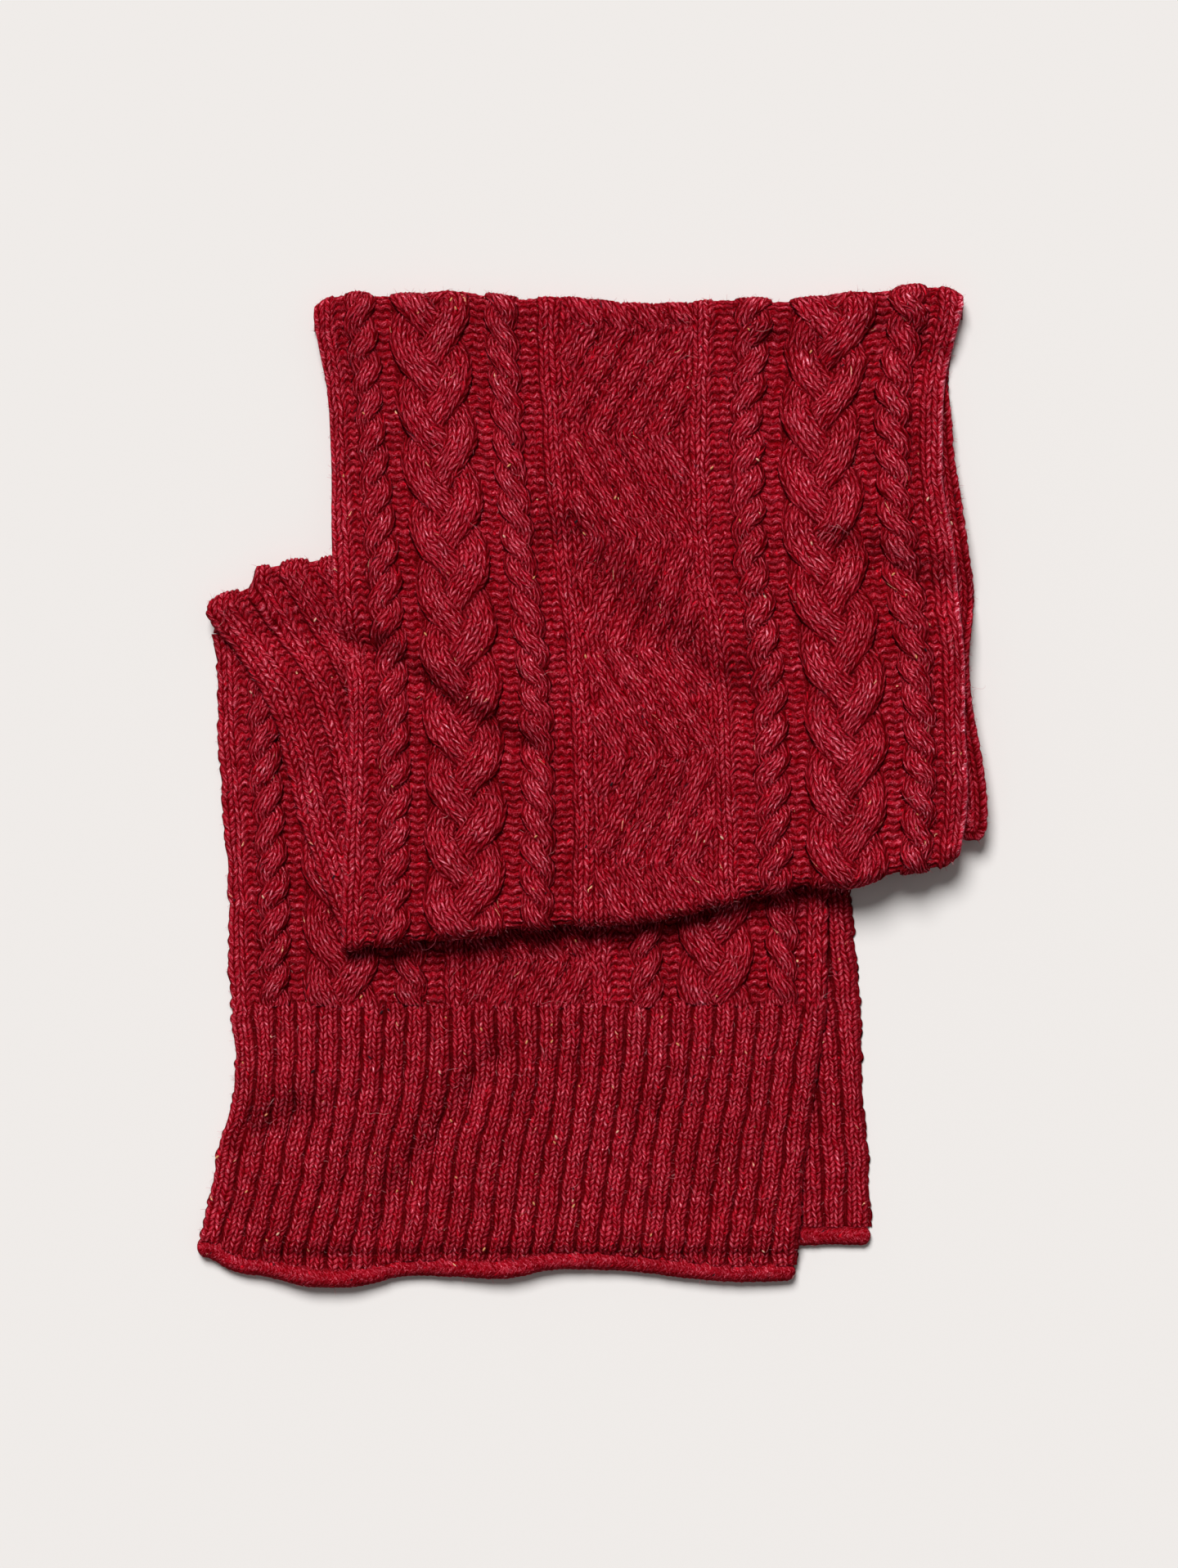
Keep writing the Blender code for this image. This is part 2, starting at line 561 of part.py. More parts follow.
def under_stretch():
    """The other end of the scarf: mostly hidden, ribbed where it shows on the right, with a
    column up the left under the lower stretch."""
    hidden_cols, shown_cols = 6, 2 * UNDER_RIBS
    rows, column_rows = 9, 6
    shown_from = 1 - UNDER_RIBS / RIB_COUNT
    u = np.concatenate([
        np.linspace(0, shown_from, hidden_cols, endpoint=False),
        np.linspace(shown_from, 1, shown_cols + 1),
    ])[None, :]
    row = np.arange(rows + column_rows + 1)[:, None]
    low = UNDER_HEM_Y + UNDER_HEM_WIDTH / 2 + GAP
    top = lower_top(between(UNDER_EDGES, u, RIB_START))
    y = low + (top - low) * np.clip(row / rows, 0, 1)
    y = y + (UNDER_TOP - top) * np.clip((row - rows) / column_rows, 0, 1)
    x = between(UNDER_EDGES, u, y)
    across = u * CLOTH_WIDTH
    relief = ribs(across, CLOTH_WIDTH, RIB_COUNT, RIB_RELIEF) * (u > shown_from)
    thick = edge_thickness(across, CLOTH_WIDTH) + relief
    inner = np.stack([x, y, 0 * x], axis=-1)
    outer = np.stack([x, y, thick + 0 * x], axis=-1)
    keep = np.ones((rows + column_rows, hidden_cols + shown_cols), bool)
    keep[rows:, 1:] = False
    return wall("under_stretch", inner, outer, material("under"), keep=keep)


def roll(name, line, wide, high, wool):
    """A rolled hem: an oval tube along its middle line, flat below, with rounded ends."""
    sides, end_rings = 8, 2
    line = np.array(line, float)
    caps = [math.sqrt(1 - (1 - k / (end_rings + 1)) ** 2) for k in range(1, end_rings + 1)]
    size = np.array(caps + [1.0] * (len(line) - 2 * end_rings) + caps[::-1])
    heading = np.gradient(line, axis=0)
    heading = heading / np.linalg.norm(heading, axis=1)[:, None]
    angle = np.linspace(0, 2 * math.pi, sides, endpoint=False)[None, :]
    side = wide / 2 * size[:, None] * np.cos(angle)
    up = high / 2 * (1 + size[:, None] * np.sin(angle) * ROLL_FLAT)
    x = line[:, :1] - heading[:, 1:] * side
    y = line[:, 1:] + heading[:, :1] * side
    points = np.stack([x, y, np.clip(up, 0.0, None)], axis=-1).reshape(-1, 3)
    faces = []
    for i in range(len(line) - 1):
        for j in range(sides):
            k = (j + 1) % sides
            faces.append((i * sides + j, i * sides + k, (i + 1) * sides + k, (i + 1) * sides + j))
    faces.append(tuple(range(sides)))
    faces.append(tuple(range((len(line) - 1) * sides, len(line) * sides)))
    return body(name, points, faces, wool)


def hem_rolls():
    """The rolled hems of both ends of the scarf."""
    x = np.linspace(*HEM_SPAN, 34)
    y = spline(RIB_END, x) - HEM_BACK
    roll("hem_roll", np.column_stack([x, y]), HEM_WIDTH, HEM_HEIGHT, material("hem"))
    x = np.linspace(*UNDER_HEM_SPAN, 14)
    y = np.full(x.shape, UNDER_HEM_Y)
    name = "under_hem_roll"
    roll(name, np.column_stack([x, y]), UNDER_HEM_WIDTH, UNDER_HEM_HEIGHT, material("under"))


def packet_edges(inner):
    """Plan and top of the hidden packet: the front panel's own inner points, with a row or a
    column more at each side that is rounded down."""
    points = inner[::PLAIN, ::PLAIN]
    core = points[3:-3, 1:-1]
    below = -GAP - BULGE
    y = core[:, :1, 1]
    inset = PACKET_INSET + (PACKET_INSET_TOP - PACKET_INSET) * rise((y - INSET_FROM) / INSET_OVER)
    left_x = spline(PANEL_LEFT, y) + inset
    left_z = np.minimum(points[3:-3, :1, 2], core[:, :1, 2]) + below
    y_right = core[:, -1:, 1]
    right, strip = spline(PANEL_RIGHT, y_right), spline(STRIP_EDGE, y_right)
    selvedge_z = np.minimum(points[3:-3, -1:, 2], core[:, -1:, 2]) + below
    past_selvedge = np.minimum(right + STRIP_INNER, strip - STRIP_INNER)
    grid = [np.stack([left_x, y, left_z], axis=-1), core - np.array([0, 0, GAP])]
    for x, fall in zip((right - UNDER_SELVEDGE, past_selvedge, strip), STRIP_FALLS):
        grid.append(np.stack([x, y_right, selvedge_z - fall], axis=-1))
    grid = np.concatenate(grid, axis=1)
    south, north = grid[:1].copy(), grid[-1:].copy()
    reach = LIP + BULGE + 4 * GAP
    south[..., 1] = fold_lines(south[..., 0])[0] + reach
    south[0, -1] = (spline(STRIP_EDGE, PACKET_LOW), PACKET_LOW, south[0, -1, 2])
    north[..., 1] = fold_lines(north[..., 0])[1] - reach
    south[..., 2] -= BULGE
    north[..., 2] -= BULGE
    grid = np.concatenate([south, grid, north], axis=0)
    grid[..., 2] = np.maximum(grid[..., 2], LAYER / 2)
    return grid


def hidden_layers():
    """Everything hidden under the front panel as one rounded solid, with a groove at its side
    for each layer, and the strip of it that shows on the right."""
    top = packet_edges(panel_surfaces()[0])
    rows, cols = top.shape[0] - 1, top.shape[1] - 1
    at = np.arange((rows + 1) * (cols + 1)).reshape(rows + 1, cols + 1)
    loop = np.concatenate([at[0, :-1], at[:-1, -1], at[-1, :0:-1], at[:0:-1, 0]])
    faces = []
    for r in range(rows):
        for c in range(cols):
            faces.append((at[r, c], at[r + 1, c], at[r + 1, c + 1]))
            faces.append((at[r, c], at[r + 1, c + 1], at[r, c + 1]))
    flat = top.reshape(-1, 3)
    edge = flat[loop]
    row_of, col_of = loop // (cols + 1), loop % (cols + 1)
    sideways = (col_of == cols) * 1.0 - (col_of == 0)
    lengthways = (row_of == rows) * 1.0 - (row_of == 0)
    out = np.column_stack([sideways, lengthways])
    out = out / np.linalg.norm(out, axis=1)[:, None]
    deep = GROOVE * np.clip(edge[:, 2] / (LAYERS * LAYER), LEAST_GROOVE, 1.0)
    points, previous = [flat], loop
    for k in range(2 * LAYERS):  # round edge and groove in turn, down to the floor
        lowest = k == 2 * LAYERS - 1
        share = 0.0 if lowest else 1 - (k + 0.5) / (2 * LAYERS)
        outset = BULGE - deep * (0 if lowest else k % 2)
        ring = np.column_stack([edge[:, :2] + out * outset[:, None], edge[:, 2] * share])
        start = sum(len(p) for p in points)
        now = np.arange(start, start + len(loop))
        for i in range(len(loop)):
            j = (i + 1) % len(loop)
            faces.append((previous[i], previous[j], now[j], now[i]))
        points.append(ring)
        previous = now
    faces.append(tuple(previous))
    points = np.concatenate(points)
    faces = [[int(k) for k in face] for face in faces]
    return body("hidden_layers", points, faces, material("packet"))


for build in (
    top_stretch, turned_stretch, lower_stretch, rib_end, under_stretch, hem_rolls, hidden_layers,
):
    build()
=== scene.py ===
import math

import bpy
import numpy as np
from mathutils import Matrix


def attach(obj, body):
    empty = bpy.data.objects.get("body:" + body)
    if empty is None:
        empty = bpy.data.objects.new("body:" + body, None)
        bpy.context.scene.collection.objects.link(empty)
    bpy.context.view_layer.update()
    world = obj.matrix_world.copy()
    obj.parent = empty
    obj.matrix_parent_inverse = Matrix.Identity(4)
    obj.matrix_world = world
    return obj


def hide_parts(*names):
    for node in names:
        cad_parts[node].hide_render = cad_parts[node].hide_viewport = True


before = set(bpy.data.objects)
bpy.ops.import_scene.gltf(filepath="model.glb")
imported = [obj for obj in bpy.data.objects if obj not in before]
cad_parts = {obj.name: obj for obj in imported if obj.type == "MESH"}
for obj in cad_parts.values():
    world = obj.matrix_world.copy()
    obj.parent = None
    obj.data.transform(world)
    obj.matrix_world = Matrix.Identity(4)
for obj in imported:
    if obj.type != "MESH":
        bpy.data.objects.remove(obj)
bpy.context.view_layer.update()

# ----------------------------------------------------------------------------------------------
# Front panel: the scarf's cabled cloth, right side up, with the folds at its upper and lower end.
# It is one sheet of knitting. Its plain stitches, purl gutters and ribs are modelled here, row by
# row on a grid whose lines follow the two legs of each stitch, and the cables are laid on it next.

MM = 0.001
MIDDLE = (1.05, -1.1)  # middle of the outline in the tables' x and y, which is the frame's origin
CLOTH_WIDTH = 350.0  # from selvedge to selvedge
ROW = 4.3  # height of a knitted row
LEAN = 1.0  # rows that a stitch's leg climbs from the middle of its column to the side
LEG_HEIGHT = 1.1  # of a stitch's round leg above the groove beside it
BAR_HEIGHT = 1.3  # of a purl bar
BAR_LIGHT, GROOVE_LIGHT = 0.41, 0.05  # painted light on purl bars and painted shade in grooves: how light each is painted
WIDE_LIGHT = 0.86  # and the painted light on the rounder legs of wide columns
KINDS = {  # cells across a column of stitches, knit, purl, how far down it lies
    "knit": (6, 1.0, 0.0, 0.0), "slim": (4, 1.0, 0.0, 0.0), "ground": (4, 1.0, 0.0, 0.5),
    "purl": (4, 0.0, 1.0, 1.5), "groove": (2, 0.0, 0.0, 1.5), "under": (1, 0.0, 0.0, 1.7),
}
PURL_WAVE = 0.16  # rows by which a purl bar waves up and down
UNEVEN = (0.6, 1.2)  # the least and most of a stitch's own size
ROW_DIP = 0.1  # height left in a leg where two rows meet
RIDGE_DARK = 0.2  # painted shade: share of a leg's painted light that is left beside a groove
EACH_DARK = 0.4  # share of a stitch's painted light that doesn't change with its size
PULLS = ((0.9, 6.5), (0.45, 2.6))  # how far stitches are pulled out of line, over what size
FINE = 4  # lines of the grid to a row
PLAIN_STEP, PLAIN_CELL = 6, 7.0  # the plain inner side: lines to one of its own, and width
INNER_PAINTED_LIGHT = 0.5  # its even painted shade
WALE_YARN = 7.3  # step in the wool's pattern from one column of stitches to the next

WALL = 4.0  # plain knit
THICK_WAVE, THICK_WAVE_SIZE = 0.35, 14.0  # its thickness goes up and down by this, over this
SELVEDGE = 1.8  # thickness at the very edge
FUZZY_EDGE = 3.2  # width of the strip along a selvedge that has knots and is painted lighter, a painted highlight with a paler fuzz
BEAD = 0.9  # height of the knots along a selvedge, one to two rows
ROLL_IN = 7.0  # over this distance from an edge the cloth gains its whole thickness

# From the left selvedge to the middle: kind of work, width, columns of stitches, rise over purl
HALF_WORK = [
    ("knit", 12.0, 2, 1.2),
    ("purl", 8.0, 2, 0.0),
    ("under", 13.0, 2, 0.0),
    ("purl", 12.5, 2, 0.0),
    ("under", 40.0, 8, 0.0),
    ("purl", 14.0, 2, 0.0),
    ("under", 12.5, 2, 0.0),
    ("purl", 14.0, 3, 0.0),
    ("knit", 12.0, 2, 0.9),
]
CENTRE_WORK = ("ground", 74.0, 12, 0.0)
CABLED_WORK = HALF_WORK + [CENTRE_WORK] + HALF_WORK[::-1]

# The panel seen from above: selvedges as x at each y, folds as y at each x
PANEL_LEFT = [  # y, x
    (-96, -137.5), (-42, -136), (-5, -134), (58, -134), (96, -140.5), (129, -142.5),
    (192, -144), (221, -146), (244, -150.5), (265, -153.5), (274, -153),
]
PANEL_RIGHT = [  # y, x
    (-42, 205), (-19, 209.5), (0, 210.5), (27, 209), (73, 208.5), (91, 207),
    (132, 203), (169, 197), (192, 197), (221, 198.5), (255, 206), (268, 209), (278, 207.5),
]
LADDERS_ACROSS = (0.0, 39.25, 120.0, 230.0, 310.75, 350.0)  # selvedges and some purl gutters
LADDERS = [  # y, x of those four gutters
    (-55.4, -95.4, -14.0, 89.4, 169.5), (-18.8, -94.9, -13.5, 87.2, 169.5),
    (27.0, -95.4, -14.4, 86.0, 170.4), (60.0, -96.7, -16.8, 84.2, 168.8),
    (86.5, -98.0, -19.2, 80.4, 165.0), (118.5, -100.6, -23.4, 75.6, 159.4),
    (150.0, -104.4, -27.2, 73.4, 156.8), (175.0, -107.6, -29.6, 73.0, 155.8),
    (210.0, -110.9, -31.8, 73.9, 155.3), (255.7, -115.1, -34.5, 76.2, 164.0),
]
LOWER_FOLD = [  # x, y
    (-138, -95), (-99, -90), (-79, -88), (-50, -84), (-21, -81), (27, -79), (48, -75.5),
    (78, -68), (103, -61), (118, -59), (145, -58.5), (162, -54), (180, -50.5), (197, -48),
    (207, -41),
]
UPPER_FOLD = [  # x, y
    (-154, 268), (-147, 272.5), (-119, 275), (-91, 275), (-67, 277), (-51, 274.5), (-6, 273.5),
    (25, 270.5), (46, 270.5), (78, 273), (104, 272), (135, 274), (157, 277.5), (171, 278.5),
    (203, 278), (209, 275),
]
FOLD_RADIUS = 6.5  # outside of the two folds
RELIEF_ROOM = 2.0  # the folds are drawn round the cables, this far outside the plain knit
LIP = 7.0  # the cloth runs on under itself this far past a fold
FOLD_EASE = 0.5  # share of the relief above plain knit that a fold stretches away
LEAST_HEIGHT = 0.3  # what the floor presses flat stays this far above it
PANEL_HEIGHTS = [  # share from fold to fold, at the left selvedge, in the middle, at the right
    (0.00, 22.2, 25.5, 20.0),
    (0.08, 20.5, 25.5, 20.0),
    (0.20, 19.3, 25.0, 20.0),
    (0.42, 20.2, 22.2, 19.0),
    (0.50, 18.8, 20.5, 18.0),
    (0.60, 17.8, 18.5, 16.0),
    (0.70, 9.0, 15.0, 13.5),
    (0.82, 6.2, 12.0, 10.0),
    (0.93, 7.2, 9.6, 8.0),
    (1.00, 9.0, 9.0, 9.0),
]
EDGE_FALL = 42.0  # width of the slope down to a selvedge
FOLD_FLAT = 0.06  # share of its length at each fold over which its creases fade away
CREASE_ROUND = 3.0  # radius of a crease's bottom
PANEL_CREASES = [  # depth, half width, line
    (9.5, 7.5, [(-136, 76), (-116, 72), (-104, 62), (-84, 46), (-54, 29), (-34, 19)]),
    (10.0, 13.0, [(-12, 134), (12, 106), (34, 82), (54, 66), (80, 48)]),
    (4.5, 8.5, [(117, 134), (157, 125)]),
    (8.0, 9.5, [(162, 123), (186, 112), (200, 106)]),
    (6.0, 9.0, [(100, 248), (118, 240), (134, 228)]),
    (6.5, 9.5, [(160, 256), (182, 243), (204, 230)]),
    (2.5, 12.0, [(-45, 256), (0, 252), (60, 253)]),
    (3.0, 9.0, [(169, -36), (200, -30)]),
]
PANEL_RIDGES = [  # height, half width, line
    (2.2, 9.0, [(-122, 52), (-100, 43), (-80, 26), (-52, 9)]),
    (2.8, 10.0, [(-110, 86), (-88, 71), (-62, 50), (-36, 32)]),
    (3.5, 13.0, [(2, 158), (26, 132), (52, 104), (80, 78)]),
    (2.2, 11.0, [(118, 152), (156, 146), (190, 132)]),
    (1.8, 11.0, [(96, 262), (124, 254), (142, 236)]),
]


def spline(table, at, column=1):
    """Smooth curve through a table's rows: cubic between rows, with their mean slopes."""
    knots = np.array([row[0] for row in table], float)
    values = np.array([row[column] for row in table], float)
    slopes = np.gradient(values, knots)
    at = np.clip(at, knots[0], knots[-1])
    i = np.clip(np.searchsorted(knots, at) - 1, 0, len(knots) - 2)
    step = knots[i + 1] - knots[i]
    t = (at - knots[i]) / step
    start = values[i] * (2 * t**3 - 3 * t**2 + 1) + slopes[i] * step * (t**3 - 2 * t**2 + t)
    end = values[i + 1] * (3 * t**2 - 2 * t**3) + slopes[i + 1] * step * (t**3 - t**2)
    return start + end


def rise(t):
    """0 below 0, 1 above 1, and 3t^2 - 2t^3 between."""
    t = np.clip(t, 0.0, 1.0)
    return t * t * (3 - 2 * t)


def trough(x, y, creases):
    """Depth of the troughs: depth * exp(-(way / half width)^1.5), the deepest of all, where way is
    (distance^2 + CREASE_ROUND^2)^0.5 - CREASE_ROUND, so that their bottoms are round."""
    depth_here = np.zeros(np.broadcast(x, y).shape)
    for depth, half_width, line in creases:
        nearest = np.full(depth_here.shape, np.inf)
        for (ax, ay), (bx, by) in zip(line[:-1], line[1:]):
            length_2 = (bx - ax) ** 2 + (by - ay) ** 2
            t = np.clip(((x - ax) * (bx - ax) + (y - ay) * (by - ay)) / length_2, 0.0, 1.0)
            nearest = np.minimum(nearest, np.hypot(x - ax - t * (bx - ax), y - ay - t * (by - ay)))
        way = np.hypot(nearest, CREASE_ROUND) - CREASE_ROUND
        depth_here = np.maximum(depth_here, depth * np.exp(-((way / half_width) ** 1.5)))
    return depth_here


def soft_noise(x, y, size, seed):
    """Value noise from -1 to 1: random numbers on a lattice of that size, blended by rise()."""
    lattice = np.random.default_rng(seed).uniform(-1, 1, (64, 64))
    x, y = np.asarray(x) / size, np.asarray(y) / size
    i, j = np.floor(x).astype(int), np.floor(y).astype(int)
    s, t = rise(x - i), rise(y - j)
    near = lattice[i % 64, j % 64] * (1 - s) + lattice[(i + 1) % 64, j % 64] * s
    far = lattice[i % 64, (j + 1) % 64] * (1 - s) + lattice[(i + 1) % 64, (j + 1) % 64] * s
    return near * (1 - t) + far * t


def pulled(x, y, seed):
    """How far stitches are pulled out of line: the sum of PULLS."""
    return sum(far * soft_noise(x, y, size, seed + k) for k, (far, size) in enumerate(PULLS))


def edge_thickness(across, width):
    """Thickness of the plain cloth, which thins in a quarter round towards both selvedges."""
    near = np.minimum(across, width - across) / ROLL_IN
    return SELVEDGE + (WALL - SELVEDGE) * np.sqrt(1 - (1 - np.clip(near, 0.0, 1.0)) ** 2)


def panel_folds(x):
    """y at which the panel starts to turn into its lower and its upper fold."""
    turned_in = FOLD_RADIUS + RELIEF_ROOM
    return spline(LOWER_FOLD, x) + turned_in, spline(UPPER_FOLD, x) - turned_in


def panel_height(x, y):
    """Height of the panel's underside, from its place seen from above."""
    left, right = spline(PANEL_LEFT, y), spline(PANEL_RIGHT, y)
    low, high = panel_folds(x)
    share = (y - low) / (high - low)
    at_left, middle, at_right = (spline(PANEL_HEIGHTS, share, column) for column in (1, 2, 3))
    height = at_left + (middle - at_left) * rise((x - left) / EDGE_FALL)
    height = at_right + (height - at_right) * rise((right - x) / EDGE_FALL)
    flat_near_folds = rise(share / FOLD_FLAT) * rise((1 - share) / FOLD_FLAT)
    return height - (trough(x, y, PANEL_CREASES) - trough(x, y, PANEL_RIDGES)) * flat_near_folds


def bend(x, y, height, past, way, thick, radius):
    """Point at thick above the cloth's inner side, past a fold's start by that distance.

    Up to half a turn the inner side goes round a circle of radius r: (y + way r sin t,
    height - r + r cos t), t = past / fold radius. Further on it runs straight back below.
    """
    inner_radius = radius - WALL
    turn = np.clip(past / radius, 0, math.pi)
    run = past - turn * radius
    reach = inner_radius + thick
    return np.stack(
        [x + 0 * reach, y + way * (reach * np.sin(turn) - run),
         height - inner_radius + reach * np.cos(turn)], axis=-1)


def panel_place(across, y):
    """x of a point across the panel: in even steps from one of the LADDERS to the next."""
    lines = [spline(PANEL_LEFT, y), *(spline(LADDERS, y, k) for k in (1, 2, 3, 4)),
             spline(PANEL_RIGHT, y)]
    x = lines[0] + 0 * across
    for start, end, near, far in zip(LADDERS_ACROSS, LADDERS_ACROSS[1:], lines, lines[1:]):
        x = x + (far - near) * np.clip((across - start) / (end - start), 0, 1)
    return x


def front(across, along, thick):
    """Place of a point of the front panel: across from its left selvedge, along from the start of
    the upper fold downwards, and thick above its inner side. Also its state: 0 within the cloth,
    and 1 at or past its lower end, where all that follow share one place."""
    y = 100.0 + 0 * across + 0 * along
    for _ in range(5):
        x = panel_place(across, y)
        low, high = panel_folds(x)
        y = np.clip(high - along, low, high)
    past_low = low - (high - along)
    past = np.maximum(np.maximum(past_low, -along), 0)
    way = np.where(past_low > 0, -1.0, 1.0)
    longest = math.pi * FOLD_RADIUS + LIP
    thick = thick - FOLD_EASE * np.maximum(thick - WALL, 0) * rise(past / FOLD_RADIUS)
    place = bend(x, y, panel_height(x, y), np.minimum(past, longest), way, thick, FOLD_RADIUS)
    place[..., 2] = np.maximum(place[..., 2], LEAST_HEIGHT)
    return place, 1 * ((past >= longest) & (way < 0))


def work_columns(work, leg_lean=LEAN):
    """The grid's lines across some work, as arrays with one value a line.

    at is the line's place and lean the rows by which it runs ahead: leg_lean * 2|x| in a column
    of knit stitches, x being -0.5 to 0.5 across the column. knit and purl are the shares of each,
    leg the roundness sin(2 pi |x|) of a stitch's leg, lift the work's rise over purl, shaped as
    sin(pi share)^0.5, ridge how far it is out of the grooves beside it, sunk how far down it
    lies, wide whether its stitches are wide ones, and wale the number of its column. ridge, sunk
    and wide also set the painted shade of its stitches.
    """
    lines = {key: [] for key in (
        "at", "lean", "knit", "purl", "leg", "lift", "wale", "x", "ridge", "sunk", "wide")}
    start, wale = 0.0, 0
    for kind, width, count, lift in work:
        cells, knit, purl, sunk = KINDS[kind]
        for i in range(count * cells):
            share = i / (count * cells)
            x = (i % cells) / cells - 0.5
            lines["at"].append(start + width * share)
            wave = PURL_WAVE * (1 + math.cos(2 * math.pi * x)) * purl
            lines["lean"].append(leg_lean * 2 * abs(x) if knit else leg_lean + wave)
            lines["knit"].append(knit)
            lines["purl"].append(purl)
            lines["leg"].append(math.sin(2 * math.pi * abs(x)) ** 0.8 if 0 < abs(x) < 0.5 else 0.0)
            round_share = math.sin(math.pi * share) ** 0.5 if share > 0 else 0.0
            lines["lift"].append(lift * round_share)
            lines["ridge"].append(round_share if lift > 0 else 1.0)
            lines["sunk"].append(sunk * (math.sin(math.pi * share) if kind == "groove" else 1.0))
            lines["wide"].append(float(cells > 4))
            lines["wale"].append(wale + i // cells)
            lines["x"].append(x * width / count)
        start, wale = start + width, wale + count
    for key, value in zip(lines, (start, leg_lean, 0.0, 0.0, 0.0, 0.0, wale, 0.0, 0.0, 0.0, 0.0)):
        lines[key].append(value)
    return {key: np.array(values) for key, values in lines.items()}


def stitches(columns, rows, seed):
    """Relief of the stitches, and how much painted light each point gets, from 0 to 1: a painted
    highlight of leg * row * ridge for knit and BAR_LIGHT * row^1.5 for purl, row being |sin(pi r)|
    over each row r, with painted shade in the grooves and where two rows meet. Stitches differ."""
    r = np.asarray(rows, float)[:, None]
    uneven = np.random.default_rng(seed).uniform(*UNEVEN, (512, 97))
    each = uneven[np.floor(r).astype(int) % 512, columns["wale"][None, :] % 97]
    row = np.abs(np.sin(math.pi * r))
    legs = columns["leg"] * (ROW_DIP + (1 - ROW_DIP) * row) * columns["knit"]
    bars = row**1.5 * columns["purl"]
    # Painted light: painted shade beside grooves, in columns that lie lower and deepest in the
    # grooves themselves, and less painted light on the rounder legs of wide columns.
    light = legs * (RIDGE_DARK + (1 - RIDGE_DARK) * columns["ridge"]) / (1 + columns["sunk"])
    light = light + BAR_LIGHT * bars
    grooves = columns["knit"] + columns["purl"] == 0
    light = light * (1 - (1 - WIDE_LIGHT) * columns["wide"]) + GROOVE_LIGHT * grooves
    relief = (LEG_HEIGHT * legs + BAR_HEIGHT * bars) * each - columns["sunk"]
    return relief, light * (EACH_DARK + (1 - EACH_DARK) * each)


def put_in_scene(name, data):
    """An object of that data, linked to the scene."""
    made = bpy.data.objects.new(name, data)
    bpy.context.scene.collection.objects.link(made)
    return made


def write_mesh(name, points, faces, yarn, painted_light, wool):
    """An object of points in millimetres, faces (arrays of quads, or lists of any), and for each
    point its place along the yarn and its painted light, the painted shade and highlight that
    its colour is multiplied by."""
    sizes = np.concatenate([np.full(len(f), f.shape[1]) if isinstance(f, np.ndarray)
                            else np.array([len(g) for g in f], int) for f in faces])
    corners = np.concatenate([f.ravel() if isinstance(f, np.ndarray)
                              else np.array([i for g in f for i in g], int) for f in faces])
    used, corners = np.unique(corners, return_inverse=True)
    mesh = bpy.data.meshes.new(name)
    mesh.vertices.add(len(used))
    mesh.vertices.foreach_set("co", ((points[used] - np.array([*MIDDLE, 0.0])) * MM).ravel())
    mesh.loops.add(len(corners))
    mesh.loops.foreach_set("vertex_index", corners.ravel())
    mesh.polygons.add(len(sizes))
    mesh.polygons.foreach_set("loop_start", np.concatenate([[0], np.cumsum(sizes)[:-1]]))
    mesh.update(calc_edges=True)
    mesh.validate()
    mesh.shade_smooth()
    for key, kind, entry, value in (("yarn", "FLOAT_VECTOR", "vector", yarn),
                                    ("painted_light", "FLOAT", "value", painted_light)):
        made = mesh.attributes.new(key, kind, "POINT")
        made.data.foreach_set(entry, value[used].ravel())
    mesh.materials.append(wool)
    piece = put_in_scene(name, mesh)
    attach(piece, "root")
    return piece


def grid_faces(number, state):
    """Quads of a grid of point numbers, and those numbers with each column's points before the
    cloth's start (state -1) drawn together into one, and so for those past its end (state 1).
    Quads that this closes are left out or made triangles."""
    n, m = number.shape
    first = np.maximum((state < 0).sum(axis=0) - 1, 0)
    last = np.where((state > 0).any(axis=0), (state > 0).argmax(axis=0), n - 1)
    kept = np.clip(np.arange(n)[:, None], first, np.maximum(first, last))
    number = number[kept, np.arange(m)[None, :]]
    quads = np.stack([number[:-1, :-1], number[1:, :-1], number[1:, 1:], number[:-1, 1:]], -1)
    left, right = quads[..., 0] == quads[..., 1], quads[..., 2] == quads[..., 3]
    whole, joined_left = quads[~left & ~right], quads[left & ~right][:, 1:]
    return number, [whole, joined_left, quads[~left & right][:, :3]]


def around_rim(loops):
    """Faces from lists of point numbers, without the points that repeat."""
    kept = [[i for k, i in enumerate(loop) if i != loop[k - 1]] for loop in loops]
    return [loop for loop in kept if len(loop) > 2]


